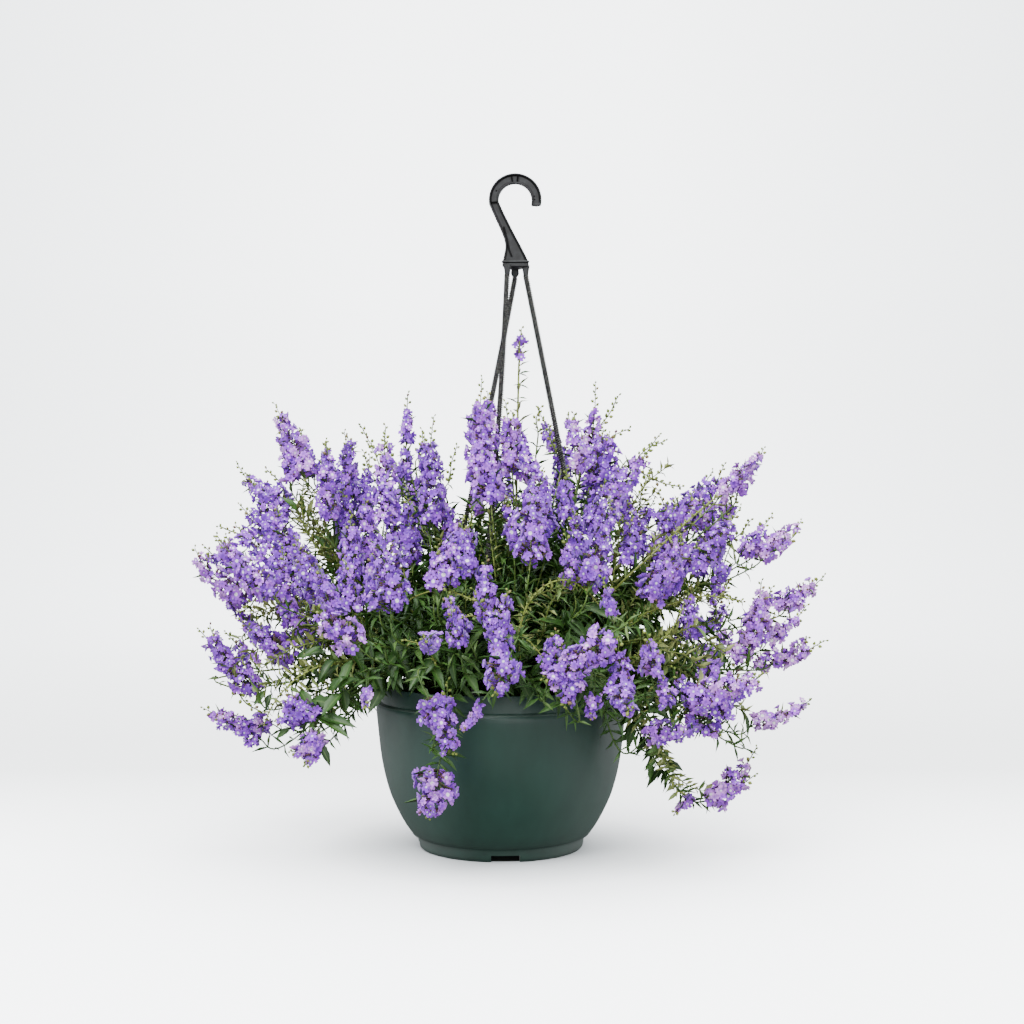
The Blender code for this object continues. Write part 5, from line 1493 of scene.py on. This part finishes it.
# Each call says from where to where along a stem, how far apart, how long at both ends, and how wide
for spike in spikes:
    broad, narrow = broad_leaves[spike.clump], narrow_leaves[spike.clump]
    low = LEAF_LOW - 0.012 * min(math.hypot(spike.base.x, spike.base.y) / 0.26, 1)
    leaf_pairs(broad, spike.route, 0.26, 0.66, LEAF_PITCH, low, LEAF_HIGH, LEAF_WIDTH_SHARE)
    light = 0.4 if spike.fullness < FULL else 0.0
    leaf_pairs(narrow, spike.route, 0.45, 0.98, 0.0095, 0.030, 0.014, 0.17, light)
    for k in range(int(spike.length / BRACT_SPACING)):
        out = around(spike.side, spike.other, k * 2.4)
        spot = spike.at((k + 0.3) * BRACT_SPACING / spike.length)
        add_leaf(narrow, spot, out, spike.along, spike.width * 0.55, 0.5, BRACT_WIDTH)
for number, (clump, route) in enumerate(shoots):
    if number % 2:
        sizes = (LEAF_PITCH, LEAF_LOW, LEAF_LOW * 0.66, LEAF_WIDTH_SHARE)
        leaf_pairs(broad_leaves[clump], route, 0.3, 0.95, *sizes)
    leaf_pairs(narrow_leaves[clump], route, 0.35, 1.0, 0.0080, 0.034, 0.020, 0.13)
for clump, route, flowering_part, _ in sprays:
    end = max(1 - flowering_part / line_length(route), 0.35)
    leaf_pairs(narrow_leaves[clump], route, 0.3, end, 0.013, 0.026, 0.012, 0.15)
for clump, route, flowering_part, _ in sprays[spray_count:]:
    start = 1 - flowering_part / line_length(route)
    leaf_pairs(narrow_leaves[clump], route, start, 1.0, 0.0065, 0.011, 0.007, 0.30, 0.42)
for clump, route, shown in leafy_stems:
    start = 1 - shown / line_length(route)
    leaf_pairs(narrow_leaves[clump], route, start * 0.96, 1.0, 0.0047, 0.020, 0.012, 0.29, LEAFY_STEM_LIGHT)
    leaf_pairs(broad_leaves[clump], route, start, 1.0, 0.040, 0.026, 0.018, 0.30, LEAFY_STEM_LIGHT / 2)
for clump, rows in SHOWN_LEAVES:
    for x, y, tip_x, tip_y, base_depth, tip_depth, width in rows:
        base = seen_at(x, y, base_depth)
        span = seen_at(tip_x, tip_y, tip_depth) - base
        normal = Vector((leafing.uniform(-0.4, 0.4), -0.7, 0.6))
        # Painted light: leaves behind the axis are painted lighter.
        shade = leafing.uniform(0.18, 0.42) + (BACK_LEAF_PAINTED_LIGHT if base_depth > 0 else 0)
        size = (width * 0.92 * MM, span.length, span.length)
        broad_leaves[clump].append((base, span.normalized(), normal, size, shade))

leaf_shapes = [
    leaf_shape("leaf_%d" % k, LEAF_OUTLINE, *bends, LEAF_THICKNESS) for k, bends in enumerate(LEAF_BENDS)
]
plants = {clump: ["plant_" + clump] for clump in CLUMPS}
plant_out("leaves", broad_leaves, leaf_shapes, 0.45, 100, leaf_skin, "foliage", plants)

# Narrow leaves
# Small nearly straight leaves that crowd the young shoots and the upper stems, down to bristle-thin bracts
# between the florets.
NARROW_OUTLINE = [(0.0, 0.30), (0.45, 1.0)]
NARROW_BENDS = [(0.12, 0.0, 0.10), (0.30, 0.4, 0.06), (-0.10, -0.4, 0.12)]
NARROW_THICKNESS = 0.02

narrow_shapes = [
    leaf_shape("narrow_%d" % k, NARROW_OUTLINE, *bends, NARROW_THICKNESS)
    for k, bends in enumerate(NARROW_BENDS)
]
plant_out("narrow_leaves", narrow_leaves, narrow_shapes, 0.5, 150, leaf_skin, "foliage", plants)

# Florets
# Two-lipped flowers about 12 mm across with five soft rounded lobes: two small ones above, two at the sides
# and a broad one below, round a short cupped throat. They stand in loose whorls all round each spike, and
# hang to the lower side where a spike leans over.
FLORET_RADII = [6.6, 5.8, 5.1, 5.1, 5.8]
# How far each kind of floret spreads, cups and ruffles, and how white its eye is
FLORET_KINDS = [
    (0.95, -0.02, 0.40, 0.6), (0.92, 0.12, 0.50, 1.0), (0.98, -0.15, 0.45, 0.5), (0.80, 0.35, 0.40, 0.0),
    (0.94, 0.05, 0.60, 1.0), (0.86, -0.30, 0.55, 0.0),
]
# A lobe's rim from one notch to the next, as (degrees from its middle, share of its radius)
LOBE_RIM = [(-36, 0.52), (-19, 1.0), (19, 1.0)]
WHORL_SPACING = 0.0058
FLORET_SPACING = 0.0048
# How far a floret's back is behind its face, how far it keeps inside its spike's width, how much of its place
# stays empty by chance, and what it keeps clear of the basket and the strands
FLORET_TUBE = 0.0038
FLORET_INSET = 0.003
EMPTY_CHANCE = 0.07
FLORET_REACH = 0.006
# How far down the photo shows the right strand in front of the flowers, and how wide it is kept clear, both
# in pixels
STRAND_SHOWN_TO = 478
STRAND_CLEARANCE = 7


def floret_shape(name, spread, cup, ruffle, white, seed):
    """A floret that faces +Z with its lower lip towards -Y, about 12 mm across."""
    draw = random.Random(seed)
    # Rows of (point in mm, how far out on the petal, how white)
    rows = [(Vector((0, 0, -1.3)), 0.0, white)]
    for k, lobe in enumerate(FLORET_RADII):
        radius = lobe * spread * draw.uniform(0.92, 1.08)
        middle = math.radians(-90 + 72 * k + draw.uniform(-5, 5))
        lift = (cup + draw.uniform(-0.12, 0.12)) * radius
        for turn, share in LOBE_RIM:
            angle = middle + math.radians(turn + draw.uniform(-4, 4))
            rise = lift * share * share - 0.3 + draw.uniform(-1, 1) * ruffle * share
            rim = Vector((math.cos(angle) * radius * share, math.sin(angle) * radius * share, rise))
            rows.append((rim, share - 0.06, 0.0))
        crease = Vector((math.cos(middle) * radius * 0.5, math.sin(middle) * radius * 0.5, 0.5 + lift * 0.3))
        rows.append((crease, 0.45, 0.0))
    back = len(rows)
    rows.append((Vector((0, 0.3, -4.4)), 0.2, 0.0))
    faces = []
    rims = []
    for k in range(5):
        notch, left, right, middle = range(1 + 4 * k, 5 + 4 * k)
        after = 1 + 4 * ((k + 1) % 5)
        faces += [[0, notch, middle], [0, middle, after]]
        faces += [[notch, left, middle], [middle, left, right], [middle, right, after]]
        for a, b in ((notch, left), (left, right), (right, after)):
            faces.append([back, b, a])
            rims.append((a, b))
    marks = {"reach": [row[1] for row in rows], "blaze": [row[2] for row in rows]}
    return small_shape(name, [row[0] * MM for row in rows], faces, marks, rims)


# Petal: thin and matt with a slight velvety sheen; violet, from deep violet in the throat to lavender at the
# lobes' edges, a small white eye in some, and each floret a shade lighter or deeper than the next, at random
# and by painted light and shade: lighter on spikes at the front and standing out, darker near the stem.
petal, tree, surface, place = new_material("angelonia_petal", 0.62, 1.4)
feed(surface, {"Sheen Weight": 0.25, "Sheen Roughness": 0.5})
violets = [(0.0, "#702aae"), (0.25, "#8c3bd2"), (0.55, "#a84bef"), (0.8, "#cb68ff"), (1.0, "#eca2ff")]
reach = add_node(tree, "ShaderNodeAttribute", attribute_name="reach")["Fac"]
blaze = add_node(tree, "ShaderNodeAttribute", attribute_name="blaze")["Fac"]
mottle = add_node(tree, "ShaderNodeTexNoise", {"Vector": place, "Scale": 420.0, "Detail": 3})["Fac"]
colour = laid_over(tree, tone_colour(tree, violets), "#56229a", reach, 0.1, 0.6, share=0.0, least=0.6)
colour = laid_over(tree, colour, "#dfa0ff", reach, 0.7, 1.0, 0.30)
colour = laid_over(tree, colour, "#7032c6", mottle, 0.45, 0.62, 0.5)
feed(surface, {"Base Color": laid_over(tree, colour, "#ffffff", blaze, 0.22, 0.5)})


def pixel_of(spot):
    scale = FOCAL_PIXELS / (CAMERA_DISTANCE + spot.y)
    return AXIS_PIXEL[0] + spot.x * scale, AXIS_PIXEL[1] - (spot.z - CAMERA_HEIGHT) * scale


right_strand = [(*pixel_of(spot), spot.y) for spot in strand_lines[2]]


def hides_strand(spot):
    """Whether a floret would stand in front of the right strand where the photo shows the strand."""
    x, y = pixel_of(spot)
    if y > STRAND_SHOWN_TO:
        return False
    near = min(right_strand, key=lambda part: abs(part[1] - y))
    return spot.y < near[2] and abs(x - near[0]) < STRAND_CLEARANCE


flowering = random.Random(31)
florets = {clump: [] for clump in CLUMPS}
stalks = {clump: [] for clump in CLUMPS}
buds = {clump: [] for clump in CLUMPS}
for spike in spikes:
    leaning = 1 - abs(spike.along.z)
    whorls = max(round(spike.length / WHORL_SPACING), 2)
    for whorl in range(whorls + 1):
        centre = whorl / whorls
        taper = (1 - 0.45 * centre**1.5) * (0.86 if whorl == 0 else 1)
        count = max(round(spike.width * taper / FLORET_SPACING * spike.fullness), 2)
        turn = flowering.uniform(0, math.tau)
        for k in range(count + 1):
            # The last one stands near the stem, and fills the middle
            inner = k == count
            angle = turn + math.tau * k / count + flowering.uniform(-0.35, 0.35)
            out = around(spike.side, spike.other, angle)
            if flowering.random() < EMPTY_CHANCE + 0.5 * leaning * max(out.z, 0):
                continue
            share = min(max(centre + flowering.uniform(-0.5, 0.5) / whorls, 0), 1)
            reach = (spike.width / 2 - FLORET_INSET) * taper * flowering.uniform(0.58, 1.16)
            reach *= 0.5 if inner else 1
            root = spike.at(share)
            stalk = (out + spike.along * 0.25 - Vector((0, 0, 0.35 * leaning))).normalized()
            spot = root + stalk * reach
            nod = spike.along * flowering.uniform(-0.15, 0.45)
            look = (out + nod + any_way(flowering) * 0.5).normalized()
            size = (1 - 0.25 * centre) * flowering.uniform(0.77, 1.10)
            if not is_clear(spot, FLORET_REACH * size) or hides_strand(spot):
                continue
            lift = (Vector((0, 0, 1)) + spike.along * 0.4 + any_way(flowering) * 0.3).normalized()
            # Painted shade: the inner florets near the stem are painted darker.
            shade = spike.shade - (0.12 if inner else 0)
            florets[spike.clump].append((spot, look, lift, (size, size, size), shade))
            span = spot - look * FLORET_TUBE * size - root
            stalks[spike.clump].append((root, span.normalized(), spike.along, (1, 1, span.length), 0.5))

floret_shapes = [floret_shape("floret_%d" % k, *kind, k + 1) for k, kind in enumerate(FLORET_KINDS)]
plant_out("florets", florets, floret_shapes, 0.66, 200, petal, "violet_petals", nodes_of)

# Flower stalks and calyxes
# Each floret sits in a small green cup on a thin stalk that springs from the spike's stem. Some cups are left
# empty, brown and purple, where the floret has dropped.
STALK_OUTLINE = [(0.42, 0.0), (0.34, 0.60), (1.25, 0.95)]
EMPTY_CUPS_PER_MM = 0.32

# Calyx and stalk: matt green, flushed purple-brown on the side towards the light, with a fine fuzz.
calyx_skin, tree, surface, place = new_material("green_calyx", 0.6, 1.45)
flushes = [(0.0, "#5d6b38"), (0.4, "#6f7245"), (0.7, "#6b4a48"), (1.0, "#4a2c4e")]
feed(surface, {"Base Color": tone_colour(tree, flushes)})
grained(tree, surface, place, 900.0, 2, 0.4, 0.0003)

for spike in spikes:
    spent = 3.5 if spike.fullness < FULL else 1
    for k in range(int(spike.length * 1000 * EMPTY_CUPS_PER_MM * spent)):
        out = around(spike.side, spike.other, flowering.uniform(0, math.tau))
        share = flowering.uniform(0, 1)
        root = spike.at(share)
        length = spike.width * (0.5 - 0.2 * share) * flowering.uniform(0.5, 0.85)
        aim = (out + spike.along * 0.5 + any_way(flowering) * 0.3).normalized()
        if is_clear(root + aim * length, 0.003):
            stalks[spike.clump].append((root, aim, spike.along, (1.1, 1.1, length), 0.85))
stalk_rings = [[bearing(120 * k) * r * MM + Vector((0, 0, z)) for k in range(3)] for r, z in STALK_OUTLINE]
stalk_shape = loft("stalk_0", stalk_rings)
stalk_shape.data.shade_smooth()
plant_out("calyxes", stalks, [stalk_shape], 0.6, 300, calyx_skin, "foliage", nodes_of)

# Buds and seed capsules
# The tip of each spike carries a loose row of closed buds on short stalks, and spent stems carry small round
# green capsules where florets have dropped.
BUD_SPACING = 0.0031
BUD_OUTLINE = [(0.26, 0.0), (0.24, 1.5), (1.15, 2.2), (1.25, 3.4), (0.35, 4.6)]

# Bud skin: yellow-green, smooth, a few flushed violet where the petals are about to open.
bud_skin, tree, surface, _ = new_material("green_bud", 0.5, 1.45)
greens = [(0.0, "#5d6e29"), (0.45, "#7f923b"), (0.75, "#95a14e"), (0.92, "#7c6944"), (1.0, "#74508c")]
feed(surface, {"Base Color": tone_colour(tree, greens)})


def bud_row(clump, line, length, large, small):
    """A loose row of buds over the last stretch of a line, smaller towards its end."""
    whole = line_length(line)
    count = max(int(length / BUD_SPACING), 3)
    turn = flowering.uniform(0, math.tau)
    for k in range(count + 1):
        share = k / count
        spot, along = place_on(line, whole - length * (1 - share))
        side = along.orthogonal().normalized()
        out = around(side, along.cross(side), turn + 2.4 * k)
        size = (large + (small - large) * share) * flowering.uniform(0.85, 1.15)
        aim = (out + along * (0.45 + share * 0.9)).normalized()
        if is_clear(spot + aim * 0.004, 0.002):
            buds[clump].append((spot, aim, along, (size, size, size), 0.5))


for spike in spikes:
    bud_row(spike.clump, [spike.tip, spike.tip.lerp(spike.end, 0.5), spike.end], spike.bud_tip, 1.4, 0.85)
for number, (clump, route, length, _) in enumerate(sprays):
    bud_row(clump, route, length, *((1.6, 1.0) if number < spray_count else (0.85, 0.6)))
bud_rings = [[bearing(90 * k) * r * MM + Vector((0, 0, z * MM)) for k in range(4)] for r, z in BUD_OUTLINE]
bud_shape = loft("bud_0", bud_rings)
bud_shape.data.shade_smooth()
plant_out("buds", buds, [bud_shape], 0.9, 400, bud_skin, "foliage", nodes_of)

# Studio
# A pale floor that curves up into a round wall, so that it looks the same from every side. It is lit on its
# own, evenly and brighter than the plant, and the plant gets one large soft light in front and the sky.
FLOOR_RADIUS = 2.6
WALL_TOP = 3.4
CURVE = 1.2
FLOOR_GLOW = 0.02
FLOOR_LIGHT = 4.4
FLOOR_LIGHT_SPREAD = 110
# How far the painted shade under the foot reaches
FOOT_SHADE_RADIUS = 0.0750
# Soft round lights as name, place, what they point at, watts and size
SOFTBOXES = [
    ("front_softbox", (-0.9, -1.9, 2.2), (0, 0, 0.3), 92, 1.5),
    ("top_softbox", (0.2, 0.3, 2.8), (0, 0, 0), 55, 2.0),
    ("low_softbox", (0.6, -2.5, 0.7), (0, 0, 0.3), 24, 1.8),
]
# The sky's brightness straight below, at the horizon and straight above, and what is added at both sides
SKY = (0.25, 0.9, 1.1)
SIDE_SKY = 1.0

# Matt paint, nearly white, with painted shade: greyer towards both sides, behind the basket and round its
# foot, and dark under the foot. The wall glows a little more the higher it curves, where its own light grazes
# it, so that floor and wall match.
studio_paint, tree, surface, place = new_material("matt_studio_paint", 0.9)
parts = add_node(tree, "ShaderNodeSeparateXYZ", {"Vector": place})
sideways = add_node(tree, "ShaderNodeMath", {0: parts["X"]}, operation="ABSOLUTE")["Value"]
# Painted shade behind the basket's axis rises to full grey and falls again, and the glow follows the height
ranges = [
    {"Value": parts["Y"], "From Min": -0.08, "From Max": 0.5, "To Min": 0.0, "To Max": 1.0},
    {"Value": parts["Y"], "From Min": 0.8, "From Max": 3.0, "To Min": 1.0, "To Max": 0.2},
    {"Value": parts["Z"], "From Max": CURVE, "To Min": FLOOR_GLOW, "To Max": FLOOR_GLOW + FLOOR_LIGHT},
]
rise, fall, glow = [add_node(tree, "ShaderNodeMapRange", ends)["Result"] for ends in ranges]
painted_shade_behind = add_node(tree, "ShaderNodeMath", {0: rise, 1: fall}, operation="MULTIPLY")["Value"]
level = add_node(tree, "ShaderNodeVectorMath", {0: place, 1: (1, 1, 0)}, operation="MULTIPLY")["Vector"]
out = add_node(tree, "ShaderNodeVectorMath", {0: level}, operation="LENGTH")["Value"]
# Painted shade: greyer to both sides, behind the basket, round its foot and dark under it.
paint = laid_over(tree, linear("#e6e9eb"), "#bfc3c6", sideways, 0.5, 1.9)
paint = laid_over(tree, paint, "#b7babb", painted_shade_behind)
paint = laid_over(tree, paint, "#8a9296", out, 0.19, 0.085, 0.55)
paint = laid_over(tree, paint, "#16181a", out, FOOT_SHADE_RADIUS + 0.002, FOOT_SHADE_RADIUS)
feed(surface, {"Base Color": paint, "Emission Color": paint, "Emission Strength": glow})

profile = [(0.4, 0.0), (1.0, 0.0), (1.8, 0.0)]
for angle in [math.radians(3.75 * k) for k in range(25)]:
    profile.append((FLOOR_RADIUS + math.sin(angle) * CURVE, CURVE - math.cos(angle) * CURVE))
profile.append((FLOOR_RADIUS + CURVE, WALL_TOP))
rings = [[bearing(3.75 * k) * radius + Vector((0, 0, z)) for k in range(96)] for radius, z in profile]
floor = disc("studio_floor", (0, 0, 0), rings)
floor.data.shade_smooth()
floor.data.materials.append(studio_paint)
floor.visible_diffuse = False
floor.visible_glossy = False
floor.visible_shadow = False
floor_only = bpy.data.collections.new("floor_only")
floor_only.objects.link(floor)


def new_light(name, kind, place, target, power):
    data = bpy.data.lights.new(name, kind)
    data.energy = power
    made = bpy.data.objects.new(name, data)
    made.location = place
    made.rotation_euler = (Vector(target) - Vector(place)).to_track_quat("-Z", "Y").to_euler()
    bpy.context.scene.collection.objects.link(made)
    return made


for name, place, target, power, size in SOFTBOXES:
    softbox = new_light(name, "AREA", place, target, power)
    softbox.data.shape = "DISK"
    softbox.data.size = size
overhead = new_light("floor_light", "SUN", (0, -0.3, 3), (0, 0, 0), FLOOR_LIGHT * math.pi / 0.8)
overhead.data.angle = math.radians(FLOOR_LIGHT_SPREAD)
overhead.light_linking.receiver_collection = floor_only

world = bpy.data.worlds.new("studio_sky")
world.use_nodes = True
tree = world.node_tree
parts = add_node(tree, "ShaderNodeSeparateXYZ", {"Vector": add_node(tree, "ShaderNodeTexCoord")["Generated"]})
sideways = add_node(tree, "ShaderNodeMath", {0: parts["X"]}, operation="ABSOLUTE")["Value"]
ranges = [
    {"Value": parts["Z"], "From Min": -0.4, "From Max": 0.0, "To Min": SKY[0], "To Max": SKY[1]},
    {"Value": parts["Z"], "From Min": 0.0, "From Max": 1.0, "To Min": 0.0, "To Max": SKY[2] - SKY[1]},
    {"Value": sideways, "From Min": 0.45, "From Max": 0.95, "To Min": 0.0, "To Max": SIDE_SKY},
]
lower, upper, sides = [add_node(tree, "ShaderNodeMapRange", ends)["Result"] for ends in ranges]
both = add_node(tree, "ShaderNodeMath", {0: lower, 1: upper}, operation="ADD")["Value"]
glow = add_node(tree, "ShaderNodeMath", {0: both, 1: sides}, operation="ADD")["Value"]
feed(tree.nodes["Background"], {"Color": linear("#f4f6f8"), "Strength": glow})
bpy.context.scene.world = world
